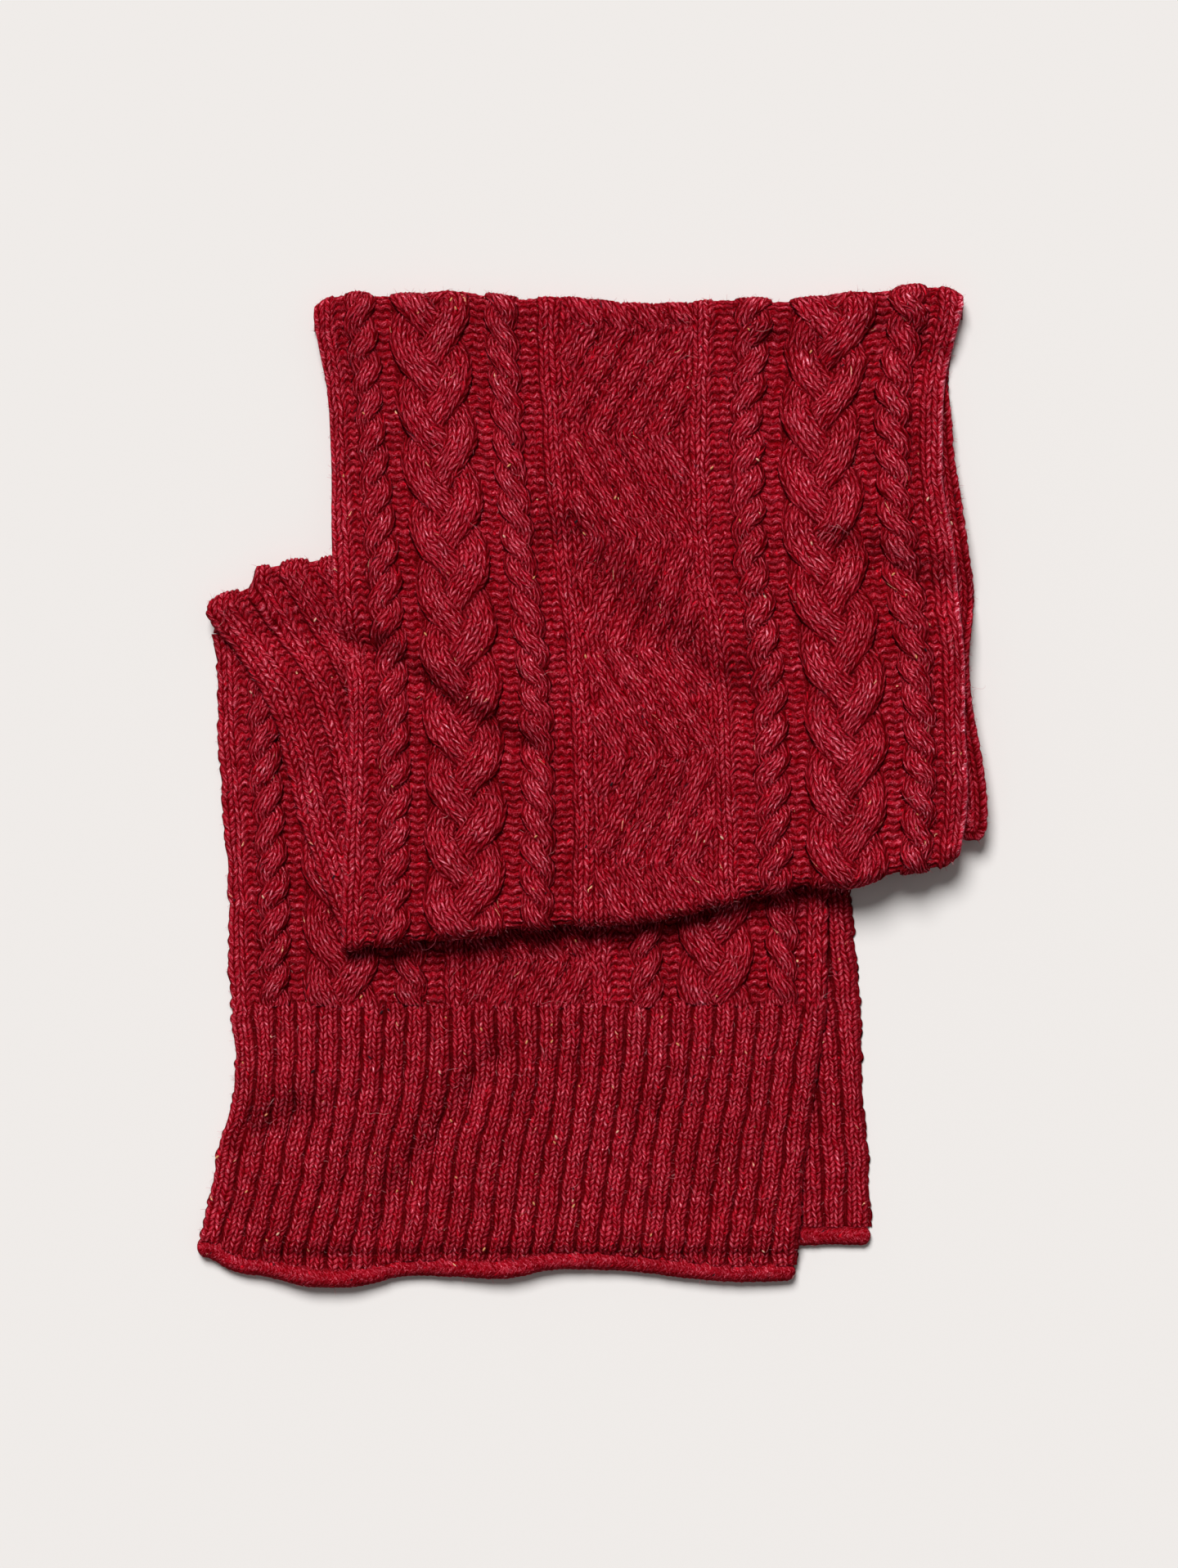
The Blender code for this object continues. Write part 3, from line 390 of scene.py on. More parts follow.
def knit_sheet(name, lay, columns, rows, row_height, wool, seed, edge_highlights=(0.1, 0.1)):
    """A sheet of knitting: stitches on its outer side, and a plain inner side with fewer points.

    Row r and column c lie at lay(at, row_height (r - lean), thick + lift + stitches). The last
    argument is how much lighter its left and right selvedge strips are painted, a painted
    highlight.
    """
    at = columns["at"][None, :]
    r = np.asarray(rows, float)[:, None]
    along = row_height * (r - columns["lean"][None, :])
    along = along + pulled(at, along, seed + 2)
    relief, painted_light_here = stitches(columns, rows, seed)
    near_edge = np.minimum(at, columns["at"][-1] - at)
    thick = edge_thickness(at, columns["at"][-1]) + columns["lift"] + relief - LEG_HEIGHT / 2
    thick = thick + THICK_WAVE * soft_noise(at, along, THICK_WAVE_SIZE, seed + 1)
    at_edge = np.clip(1 - near_edge / FUZZY_EDGE, 0, 1)
    beads = BEAD * np.abs(np.sin(math.pi * r / 2)) ** 0.7 * at_edge
    side = beads * np.sign(at - columns["at"][-1] / 2) + pulled(at, along, seed + 5)
    outer, state = lay(at + side, along, thick)
    low_rows = np.arange(0, len(rows) - 1, PLAIN_STEP)
    low_rows = np.append(low_rows, len(rows) - 1)
    low_cols = np.flatnonzero(np.diff(np.floor(columns["at"][:-1] / PLAIN_CELL), prepend=-1))
    low_cols = np.append(low_cols, at.size - 1)
    coarse = np.ix_(low_rows, low_cols)
    inner, inner_state = lay((at + 0 * along)[coarse], along[coarse],
                             np.zeros((len(low_rows), len(low_cols))))
    n, m = outer.shape[:2]
    number, faces = grid_faces(np.arange(n * m).reshape(n, m), state)
    below = n * m + np.arange(inner.shape[0] * inner.shape[1]).reshape(inner.shape[:2])
    below, under = grid_faces(below, inner_state)
    faces += [face[:, ::-1] for face in under]
    rim = []
    for i, (a, b) in enumerate(zip(low_rows[:-1], low_rows[1:])):
        rim.append([below[i, 0], below[i + 1, 0], *number[a:b + 1, 0][::-1]])
        rim.append([below[i + 1, -1], below[i, -1], *number[a:b + 1, -1]])
    for j, (a, b) in enumerate(zip(low_cols[:-1], low_cols[1:])):
        rim.append([below[0, j + 1], below[0, j], *number[0, a:b + 1]])
        rim.append([below[-1, j], below[-1, j + 1], *number[-1, a:b + 1][::-1]])
    points = np.concatenate([outer.reshape(-1, 3), inner.reshape(-1, 3)])
    yarn = np.zeros((len(points), 3))
    yarn[:n * m, 0] = (columns["x"][None, :] + 0 * along).ravel()
    yarn[:n * m, 1] = (r * ROW + 0 * along).ravel()
    yarn[:n * m, 2] = (columns["wale"][None, :] * WALE_YARN + 0 * along).ravel()
    yarn[n * m:] = inner.reshape(-1, 3)
    # Painted light: the plain inner side gets one even middle shade, the stitches their painted
    # highlight and shade, and the strips along the selvedges are painted lighter, a painted
    # highlight.
    painted_light = np.full(len(points), INNER_PAINTED_LIGHT)
    edge_highlight = np.where(at < columns["at"][-1] / 2, *edge_highlights) * at_edge
    painted_light[:n * m] = (painted_light_here + edge_highlight).ravel()
    return write_mesh(name, points, faces + [around_rim(rim)], yarn, painted_light, wool)


def input_of(tree, socket, value):
    """Links a socket to an input, or sets the input to a plain value."""
    if isinstance(value, bpy.types.NodeSocket):
        tree.links.new(value, socket)
    else:
        socket.default_value = value


def node(tree, kind, inputs=None, **settings):
    """A shader node with its settings and inputs."""
    made = tree.nodes.new(kind)
    for key, value in settings.items():
        setattr(made, key, value)
    for key, value in (inputs or {}).items():
        input_of(tree, made.inputs[key], value)
    return made


def ramp(tree, factor, stops):
    """A colour ramp through (position, colour) stops."""
    made = node(tree, "ShaderNodeValToRGB", {"Fac": factor})
    made.color_ramp.elements[0].position, made.color_ramp.elements[0].color = stops[0]
    made.color_ramp.elements[1].position, made.color_ramp.elements[1].color = stops[-1]
    for position, colour in stops[1:-1]:
        made.color_ramp.elements.new(position).color = colour
    return made.outputs["Color"]


def wool_group():
    """Shared finish of the tweed wool: fibres along the yarn, heather clumps, flecks, painted shade
    and highlight, and a paler haze that is partly fuzz and partly painted sheen.
    """
    tree = bpy.data.node_groups.new("tweed_wool", "ShaderNodeTree")
    sockets = tree.interface.new_socket
    sockets("Yarn", in_out="INPUT", socket_type="NodeSocketVector")
    sockets("PaintedLight", in_out="INPUT", socket_type="NodeSocketFloat")
    sockets("Place", in_out="INPUT", socket_type="NodeSocketVector")
    sockets("Color", in_out="OUTPUT", socket_type="NodeSocketColor")
    sockets("Height", in_out="OUTPUT", socket_type="NodeSocketFloat")
    given = tree.nodes.new("NodeGroupInput").outputs
    result = tree.nodes.new("NodeGroupOutput").inputs

    tangle = node(tree, "ShaderNodeTexNoise", {
        "Vector": given["Place"], "Scale": 750.0, "Detail": 1.0})
    tangled = node(tree, "ShaderNodeVectorMath", {
        0: tangle.outputs["Color"], 1: (2.8, 2.6, 0.0), 2: given["Yarn"]}, operation="MULTIPLY_ADD")

    def stretched(along, across):
        return node(tree, "ShaderNodeVectorMath", {0: tangled.outputs[0], 1: (along, across, 1.0)},
                    operation="MULTIPLY").outputs[0]

    def noise(vector, scale, detail, distortion=0.0):
        made = node(tree, "ShaderNodeTexNoise", {
            "Vector": vector, "Scale": scale, "Detail": detail, "Distortion": distortion})
        return made.outputs["Fac"]

    def mixed(blend, factor, first, second):
        made = node(tree, "ShaderNodeMix", data_type="RGBA", blend_type=blend)
        input_of(tree, made.inputs[0], factor)
        input_of(tree, made.inputs[6], first)
        input_of(tree, made.inputs[7], second)
        return made.outputs[2]

    fibres = noise(stretched(0.52, 1.7), 1.0, 1.5, 0.4)
    fine = noise(stretched(0.8, 3.6), 1.0, 1.0)
    clumps = noise(given["Place"], 150.0, 1.0)
    patches = noise(given["Place"], 18.0, 2.0)
    colour = ramp(tree, fibres, [
        (0.32, (0.250, 0.0002, 0.0040, 1)), (0.46, (0.450, 0.0040, 0.0180, 1)),
        (0.56, (0.640, 0.0350, 0.0650, 1)), (0.67, (1.000, 0.2800, 0.3400, 1))])
    colour = mixed("MULTIPLY", 1.0, colour, ramp(tree, fine, [
        (0.36, (0.74, 0.52, 0.56, 1)), (0.64, (1.27, 1.58, 1.54, 1))]))
    colour = mixed("MULTIPLY", 1.0, colour, ramp(tree, clumps, [
        (0.3, (0.80, 0.70, 0.74, 1)), (0.7, (1.18, 1.3, 1.3, 1))]))
    colour = mixed("MULTIPLY", 1.0, colour, ramp(tree, patches, [
        (0.35, (0.92, 0.85, 0.86, 1)), (0.65, (1.07, 1.1, 1.12, 1))]))
    # Painted light: a dark painted shade where a point's painted light is low, in grooves, gutters
    # and under strands, up to a pale pink painted highlight where it is high, on the legs' tops.
    colour = mixed("MULTIPLY", 1.0, colour, ramp(tree, given["PaintedLight"], [
        (0.0, (0.15, 0.005, 0.015, 1)), (0.22, (0.48, 0.14, 0.19, 1)),
        (0.45, (0.69, 0.46, 0.52, 1)), (0.75, (0.85, 0.90, 0.90, 1)),
        (1.0, (1.00, 1.62, 1.56, 1))]))
    # Where the painted light is highest, on the legs' tops and the selvedge strips, a paler haze is
    # mixed in: partly the fuzz's own paler colour, partly painted sheen.
    fuzz_and_sheen = node(tree, "ShaderNodeMath", {0: given["PaintedLight"], 1: 0.95}, operation="SUBTRACT",
                use_clamp=True).outputs[0]
    fuzz_and_sheen = node(tree, "ShaderNodeMath", {0: fuzz_and_sheen, 1: 0.45}, operation="MULTIPLY").outputs[0]
    colour = mixed("MIX", fuzz_and_sheen, colour, (0.46, 0.070, 0.105, 1))
    flecks = node(tree, "ShaderNodeTexVoronoi", {"Vector": stretched(0.4, 0.8), "Scale": 1.0})
    pick = node(tree, "ShaderNodeSeparateColor", {0: flecks.outputs["Color"]}).outputs
    spot = node(tree, "ShaderNodeMath", {0: flecks.outputs["Distance"], 1: 0.35},
                operation="LESS_THAN").outputs[0]
    for channel, limit, fleck in ((0, 0.9965, (0.80, 0.42, 0.24, 1)),
                                  (1, 0.965, (0.62, 0.006, 0.020, 1)),
                                  (2, 0.990, (0.03, 0.012, 0.018, 1))):
        rare = node(tree, "ShaderNodeMath", {0: pick[channel], 1: limit}, operation="GREATER_THAN")
        both = node(tree, "ShaderNodeMath", {0: rare.outputs[0], 1: spot}, operation="MULTIPLY")
        colour = mixed("MIX", both.outputs[0], colour, fleck)
    tree.links.new(colour, result["Color"])
    height = node(tree, "ShaderNodeMath", {0: fine, 1: 0.5, 2: fibres}, operation="MULTIPLY_ADD")
    tree.links.new(height.outputs[0], result["Height"])
    return tree


def new_material(name, roughness, specular=0.5):
    """A material with those values on its shader, its node tree and the shader's inputs."""
    made = bpy.data.materials.new(name)
    made.use_nodes = True
    shader = made.node_tree.nodes["Principled BSDF"].inputs
    shader["Roughness"].default_value = roughness
    shader["Specular IOR Level"].default_value = specular
    return made, made.node_tree, shader


def wool_material(name, group):
    """Dull, slightly hairy crimson wool."""
    wool, tree, shader = new_material(name, 0.95, 0.02)
    yarn = node(tree, "ShaderNodeAttribute", attribute_name="yarn").outputs["Vector"]
    painted_light = node(tree, "ShaderNodeAttribute", attribute_name="painted_light").outputs["Fac"]
    place = node(tree, "ShaderNodeTexCoord").outputs["Object"]
    finish = node(tree, "ShaderNodeGroup")
    finish.node_tree = group
    for key, value in (("Yarn", yarn), ("PaintedLight", painted_light), ("Place", place)):
        tree.links.new(value, finish.inputs[key])
    bump = node(tree, "ShaderNodeBump", {
        "Strength": 0.6, "Distance": 0.0006, "Height": finish.outputs["Height"]})
    tree.links.new(finish.outputs["Color"], shader["Base Color"])
    tree.links.new(bump.outputs["Normal"], shader["Normal"])
    return wool


wool = wool_material("crimson_tweed", wool_group())

cabled = work_columns(CABLED_WORK)
PANEL_ALONG = 347.0  # longest way from the upper fold to the lower one, at the left
panel_rows = np.arange(-(math.pi * FOLD_RADIUS + LIP) / ROW,
                       (PANEL_ALONG + math.pi * FOLD_RADIUS + LIP) / ROW + LEAN, 1 / FINE)
panel_rows = np.round(panel_rows * FINE) / FINE
front_panel = knit_sheet("front_panel", front, cabled, panel_rows, ROW, wool, 11, (0.2, 0.9))
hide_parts("top_stretch")

# ----------------------------------------------------------------------------------------------
# Cables of the front panel: two-strand ropes, three-strand plaits and the travelling strands of
# the middle. Each strand is a ribbon of stitches that crosses over and under its neighbours, as
# stitches do that a knitter has slipped past each other.

# Tuck is how far down a strand's edges lie, and edge how much darker they are painted, a painted
# shade
ROPE = {"wales": 3, "width": 12.8, "swing": 4.1, "crossing": 4 * ROW, "lift": 1.9, "dome": 2.6,
        "tuck": 1.8, "edge": 0.75}
PLAIT = {"wales": 4, "width": 19.4, "swing": 13.6, "crossing": 4 * ROW, "lift": 1.7, "dome": 2.3,
         "tuck": 1.8, "edge": 0.75}
CABLE_LEAN = 1.3  # the legs of a strand's stretched stitches climb more
OVER_LIGHT = 0.16  # a strand is painted so much lighter for each millimetre that it lies over others: painted highlight over, painted shade under


def knit_ribbon(centre, cable, rows, lay, seed):
    """Points, faces, yarn places and painted light of one strand, closed by a flat underside.

    centre(along) gives the strand's middle across the cloth, its slope and its height. A point q
    from the middle lies at (centre + q cos f, along - q sin f), f being the slope's angle.
    """
    columns = work_columns([("slim", cable["width"], cable["wales"], cable["dome"])], CABLE_LEAN)
    width = columns["at"][-1]
    q = columns["at"][None, :] - width / 2
    r = np.asarray(rows, float)[:, None]
    along = (r - columns["lean"][None, :]) * ROW
    middle, slope, height = centre(along)
    f = np.arctan(slope)
    relief, painted_light = stitches(columns, rows, seed)
    sink = cable["tuck"] * (2 * np.abs(q) / width) ** 6
    thick = WALL - LEG_HEIGHT / 2 + height + columns["lift"][None, :] + relief - sink
    across = middle + q * np.cos(f) + pulled(middle + q, along, seed)
    outer, state = lay(across, along - q * np.sin(f) + pulled(middle + q, along, seed + 5), thick)
    n, m = outer.shape[:2]
    number, faces = grid_faces(np.arange(n * m).reshape(n, m), state)
    left, right = number[:, 0], number[:, -1]
    rim = [[left[i], left[i + 1], right[i + 1], right[i]][::-1] for i in range(n - 1)]
    rim += [list(number[0]), list(number[-1])[::-1]]
    yarn = np.stack([columns["x"][None, :] + 0 * along, r * ROW + 0 * along,
                     columns["wale"][None, :] * WALE_YARN + seed + 0 * along], -1)
    # Painted shade along the strand's edges and where it passes under others, and a painted
    # highlight where it lies over them.
    painted_light = painted_light * (1 - cable["edge"] * (2 * np.abs(q) / width) ** 6) * (1 + OVER_LIGHT * height)
    return outer.reshape(-1, 3), faces + [around_rim(rim)], yarn.reshape(-1, 3), painted_light.ravel()


def joined(name, parts, wool):
    """One piece of several sets of points, faces, yarn places and painted light."""
    points, faces, yarn, painted_light, count = [], [], [], [], 0
    for part in parts:
        points.append(part[0])
        for face in part[1]:
            faces.append(face + count if isinstance(face, np.ndarray)
                         else [[i + count for i in loop] for loop in face])
        yarn.append(part[2])
        painted_light.append(part[3])
        count += len(part[0])
    return write_mesh(name, np.concatenate(points), faces, np.concatenate(yarn),
                      np.concatenate(painted_light), wool)


def rope_strand(middle, way, turn_at, k):
    """Strand k of a rope, which lies left and right by turns: way * swing * sin t across and
    lift * cos t high, t growing by pi from crossing to crossing. Going over, it moves to the
    right where way is 1 and to the left where it is -1."""
    def centre(along):
        t = math.pi * ((along - turn_at) / ROPE["crossing"] + k)
        slope = way * ROPE["swing"] * np.cos(t) * math.pi / ROPE["crossing"]
        return middle + way * ROPE["swing"] * np.sin(t), slope, ROPE["lift"] * np.cos(t)
    return centre


def plait_strand(middle, turn_at, k):
    """Strand k of a plait: swing * sin t across and -lift * sin 2t high, t growing by a third of
    pi from crossing to crossing, so that each strand is two crossings behind the one before."""
    def centre(along):
        t = math.pi / 3 * ((along - turn_at) / PLAIT["crossing"] + 2 * k)
        slope = PLAIT["swing"] * np.cos(t) * math.pi / 3 / PLAIT["crossing"]
        return middle + PLAIT["swing"] * np.sin(t), slope, -PLAIT["lift"] * np.sin(2 * t)
    return centre


WORK_STARTS = np.cumsum([0.0] + [work[1] for work in CABLED_WORK])
WORK_MIDDLES = (WORK_STARTS[:-1] + WORK_STARTS[1:]) / 2
ROPE_PLACES = ((2, -1, 5.0), (6, 1, 14.0), (12, -1, 14.0), (16, 1, 5.0))  # work, way, crossing at
PLAIT_AT = ((4, 10.0), (14, 10.0))


def every_row(rows, centre):
    """The rows of a strand that runs the whole way."""
    return [rows]


def ropes_and_plaits(lay, rows, shift, seed, stretches=every_row):
    """Strands of the four ropes and the two plaits. From the left, the ropes lean right going up,
    then left, and the right half of the cloth mirrors them. stretches gives the lists of rows in
    which a strand is made."""
    ropes, plaits = [], []
    for place, way, turn_at in ROPE_PLACES:
        for k in range(2):
            centre = rope_strand(WORK_MIDDLES[place], way, turn_at + shift, k)
            ropes += [knit_ribbon(centre, ROPE, part, lay, seed + 10 * place + k)
                      for part in stretches(rows, centre)]
    for place, turn_at in PLAIT_AT:
        for k in range(3):
            centre = plait_strand(WORK_MIDDLES[place], turn_at + shift, k)
            plaits += [knit_ribbon(centre, PLAIT, part, lay, seed + 10 * place + k)
                       for part in stretches(rows, centre)]
    return ropes, plaits


ropes, plaits = ropes_and_plaits(front, panel_rows, 0.0, 300)
front_ropes = joined("front_ropes", ropes, wool)
front_plaits = joined("front_plaits", plaits, wool)

TRAVEL = {"wales": 3, "width": 15.4, "dome": 1.1, "tuck": 0.9, "edge": 0.4,
          "pitch": 18.5, "slope": 1.7, "turn_at": 8.0}
TRAVEL_NUMBERS = range(-2, 4)
ZIGZAG = 59.5  # length over which they keep one lean
TRAVEL_SINK, TRAVEL_SINK_OVER = 3.5, 7.0  # they sink this deep beside the middle's ribs, over this
TRAVEL_MARGIN = 3.0  # and their middles stay this far within them
CENTRE_START = WORK_STARTS[len(HALF_WORK)]


def traveller(place, shift=0.0):
    """One travelling strand of the middle: across, it zigzags by ZIGZAG / slope to and fro, and
    it sinks into the cloth where it meets the ribs at the sides."""
    def centre(along):
        phase = (along - TRAVEL["turn_at"] - shift) / ZIGZAG
        swing = np.abs(phase % 2.0 - 1.0)
        way = np.where(phase % 2.0 < 1.0, -1.0, 1.0) * rise(4 * np.minimum(swing, 1 - swing) + 0.2)
        across = place + swing * ZIGZAG / TRAVEL["slope"]
        inside = np.minimum(across, CENTRE_WORK[1] - across)
        height = -TRAVEL_SINK * (1 - rise((inside + 1) / TRAVEL_SINK_OVER))
        across = np.clip(across, TRAVEL_MARGIN, CENTRE_WORK[1] - TRAVEL_MARGIN)
        return CENTRE_START + across, way / TRAVEL["slope"], height
    return centre


travellers = [knit_ribbon(traveller(k * TRAVEL["pitch"]), TRAVEL, panel_rows, front, 700 + k)
              for k in TRAVEL_NUMBERS]
front_travellers = joined("front_travellers", travellers, wool)

# ----------------------------------------------------------------------------------------------
# Turned stretch: the cloth that comes back over itself at the upper left. It lies on the lower
# stretch, from a rounded fold with a small pleat down to where it runs in under the front panel.

TURNED_WORK = [
    ("knit", 18.9, 3, 1.8), ("purl", 6.0, 2, 0.0), ("knit", 12.6, 2, 2.0), ("purl", 5.0, 2, 0.0),
    ("knit", 16.8, 3, 2.4), ("purl", 6.0, 2, 0.0), ("knit", 20.7, 4, 1.4),
]
TURNED_SELVEDGE = [(-132, -94), (-160, -19), (-178, 50), (-212.5, 102.5)]  # x, y
TURNED_ALONG = (0.949, 0.316)  # direction of its fold, away from the selvedge
TURNED_RADIUS = 7.5  # outside of its fold
TURNED_ROWS_BACK = 18  # rows that run on round the fold and back under it
TURNED_RUN, TURNED_CLIMB = 13.0, 26.0  # it climbs over the lower stretch's end: from, and over
PLEAT_AT, PLEAT_OVER, PLEAT_STEP = 26.0, 2.5, 8.0  # the fold steps up there, over so much, by this
PLEAT_FADE_FROM, PLEAT_FADE, PLEAT_LENGTH = 30.0, 55.0, 0.18  # across, and as a share downwards
CREASES_FROM = 12.0  # its creases reach their depth this far from the selvedge
RETURN_SHIFT, RETURN_OVER = 4.0, 20.0  # below its fold it runs back so far aside, at its corner
TURNED_CREASES = [  # depth, half width, line
    (2.4, 10.0, [(-206, 90), (-165, 85), (-134, 82)]),
    (3.8, 10.0, [(-172, -2), (-152, -20), (-140, -30)]),
]
CREST = 3.0  # the highest relief, on which the next layer lies
GAP = 0.4  # air between two layers that lie against each other
BULGE = 1.5  # how far a layer's round edge stands out from the packet's top
PACKET_INSET = 14.5  # from the front panel's left selvedge to the packet

# Where it rests: the lower stretch's own height over the under stretch
LOWER_TOP = 84.0
UNDER_EDGES = [  # y, left, right
    (-257, -177, 158), (-240, -177, 157), (-216, -179, 156), (-190, -181, 154),
    (-166, -183, 152.5), (-123, -184, 151), (-91, -185, 148.5), (-59, -186, 145.5),
    (-10, -187, 143), (73, -188, 140),
]
UNDER_HEM_Y = -251.0
UNDER_HEM_WIDTH = 10.5
UNDER_TOP = 62.0
OVER_HEM = 8.0  # the lower stretch lies this high over the under stretch's hem
LIFT = 5.8  # and this high on its ribbing
LIFT_RUN, TOP_RUN = 14.0, 30.0  # it comes down over this distance beside it, and above its end


def lower_height(x, y):
    """Height of the lower stretch's underside: on the under stretch, else down on the floor."""
    on_it = rise((x - spline(UNDER_EDGES, y) + LIFT_RUN) / LIFT_RUN)
    on_it = on_it * rise((UNDER_TOP + TOP_RUN - y) / TOP_RUN)
    on_it = on_it * rise((y - UNDER_HEM_Y + UNDER_HEM_WIDTH / 2 + LIFT_RUN) / LIFT_RUN)
    bump = (OVER_HEM - LIFT) * np.exp(-(((y - UNDER_HEM_Y) / UNDER_HEM_WIDTH) ** 2))
    return (LIFT + bump) * on_it


selvedge = np.array(TURNED_SELVEDGE, float)
selvedge_steps = np.linalg.norm(np.diff(selvedge, axis=0), axis=1)
selvedge_table = np.column_stack([np.concatenate([[0.0], np.cumsum(selvedge_steps)]), selvedge])
TURNED_LENGTH = selvedge_table[-1, 0]


def turned(across, along, thick):
    """Place of a point of the turned stretch, along being measured down from its fold, and its
    state: -1 before its start under the fold and 1 where it is far enough under the panel."""
    share = np.clip(1 - along / TURNED_LENGTH, 0, 1)
    pleat = PLEAT_STEP * rise((across - PLEAT_AT) / PLEAT_OVER)
    pleat = pleat * (1 - rise((across - PLEAT_FADE_FROM) / PLEAT_FADE))
    pleat = pleat * rise(1 - (1 - share) / PLEAT_LENGTH)
    x = spline(selvedge_table, share * TURNED_LENGTH, 1) + across * TURNED_ALONG[0]
    y = spline(selvedge_table, share * TURNED_LENGTH, 2) - TURNED_RADIUS * share
    y = y + across * TURNED_ALONG[1] + pleat
    near_fold = rise((y - LOWER_TOP + TURNED_RUN) / TURNED_CLIMB)
    height = lower_height(x, y) + WALL + CREST + GAP
    height = height + (2 * TURNED_RADIUS - WALL - height) * near_fold
    height = height - trough(x, y, TURNED_CREASES) * rise(across / CREASES_FROM)
    past = np.maximum(-along, 0)
    longest = math.pi * TURNED_RADIUS + np.maximum(y - LOWER_TOP - GAP, 0)
    x = x + RETURN_SHIFT * rise(past / TURNED_RADIUS / 1.8 - 0.6) * (1 - rise(across / RETURN_OVER))
    place = bend(x, y, height, np.minimum(past, longest), 1.0, thick, TURNED_RADIUS)
    place[..., 2] = np.maximum(place[..., 2], LEAST_HEIGHT)
    inside = x < spline(PANEL_LEFT, y) + PACKET_INSET - BULGE - GAP
    ended = ~inside | (y < panel_folds(x)[0] + LIP)
    return place, 1 * (ended & (along > 0)) - (past >= longest)


turned_columns = work_columns(TURNED_WORK)
turned_rows = np.arange(-TURNED_ROWS_BACK * FINE, round(TURNED_LENGTH / ROW + 2) * FINE) / FINE
turned_stretch = knit_sheet("turned_cloth", turned, turned_columns, turned_rows, ROW, wool, 21)
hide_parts("turned_stretch")

# ----------------------------------------------------------------------------------------------
# Lower stretch: the same cabled cloth again, which shows as a band below the front panel's fold
# and as a column up its left side.

LOWER_EDGES = [  # y, left, right
    (-275, -219, 116), (-260, -218, 116), (-248, -215, 117), (-224, -210, 119),
    (-202, -206.5, 121.5), (-179, -199.5, 124.5), (-156, -197, 128), (-128, -199, 132),
    (-97, -200.5, 133), (-65, -200.5, 133), (-19, -203.5, 131), (27, -206.5, 129),
    (73, -208, 127), (92, -211, 126),
]
RIB_START = -124.0
COLUMN = 81.0  # width of the column at its left side
COLUMN_STRAND = 71.5  # a strand is made in that column where its middle is left of this
FIRST_CROSSING = -90.0  # y of one
BAND_TOP = -60.0  # the middle's strands are made in the band below this
RELIEF_FADE, RELIEF_LOST = 13.0, 0.8  # over this distance so much of its relief fades away
SEAM_WAVE, SEAM_WAVE_SIZE = 1.6, 15.0  # the line where the ribbing starts wanders up and down


def between(edges, u, y):
    """Place across a stretch at y: u is 0 at its left selvedge and 1 at its right one."""
    return spline(edges, y) * (1 - u) + spline(edges, y, 2) * u


def lower_top(x):
    """Where the cloth below the front panel ends: a little way in under its lower fold."""
    return panel_folds(x)[0] + LIP - GAP


def seam(x):
    """y of the line where the ribbing starts."""
    return RIB_START + SEAM_WAVE * soft_noise(x, 0 * x, SEAM_WAVE_SIZE, 9)


def lower(across, along, thick):
    """Place of a point of the lower stretch, along being measured down from the column's top, and
    its state: -1 above its upper edge and 1 below the line where its ribbing starts."""
    u, y = across / CLOTH_WIDTH, LOWER_TOP - along
    top = np.where(across < COLUMN, LOWER_TOP, lower_top(between(LOWER_EDGES, u, y)))
    start = seam(between(LOWER_EDGES, u, RIB_START))
    state = 1 * (y <= start) - (y >= top)
    y = np.clip(y, start, top)
    x = between(LOWER_EDGES, u, y)
    over = np.maximum(thick - WALL, 0) * rise(1 - (y - RIB_START) / RELIEF_FADE)
    thick = thick - RELIEF_LOST * over
    return np.stack([x, y, lower_height(x, y) + thick], axis=-1), state


def shown_strand(rows, centre):
    """The stretches of rows in which a strand lies in the band or well inside the column."""
    middle = centre(rows * ROW)[0]
    y = LOWER_TOP - rows * ROW
    x = between(LOWER_EDGES, middle / CLOTH_WIDTH, y)
    shown = (middle < COLUMN_STRAND) | (y < lower_top(x) + ROW)
    cuts = np.nonzero(np.diff(shown.astype(int)))[0] + 1
    return [part for part, kept in zip(np.split(rows, cuts), np.split(shown, cuts))
            if kept[0] and len(part) > FINE]


lower_rows = np.arange(0, round((LOWER_TOP - RIB_START) / ROW + 2) * FINE) / FINE
lower_stretch = knit_sheet("lower_cloth", lower, cabled, lower_rows, ROW, wool, 31)
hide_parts("lower_stretch")
ropes, plaits = ropes_and_plaits(lower, lower_rows, LOWER_TOP - FIRST_CROSSING, 500, shown_strand)
lower_ropes = joined("lower_ropes", ropes, wool)
lower_plaits = joined("lower_plaits", plaits, wool)
band = lower_rows[lower_rows > (LOWER_TOP - BAND_TOP) / ROW]
lower_travellers = joined("lower_travellers", [knit_ribbon(
    traveller(k * TRAVEL["pitch"], LOWER_TOP - FIRST_CROSSING), TRAVEL, band, lower, 800 + k)
    for k in TRAVEL_NUMBERS], wool)

# ----------------------------------------------------------------------------------------------
# Ribbing at the end of the lower stretch, two columns of stitches to a rib, and its rolled hem.
# It is knitted on from the cabled cloth with the same wool, and its last rows curl up into the
# roll by themselves.

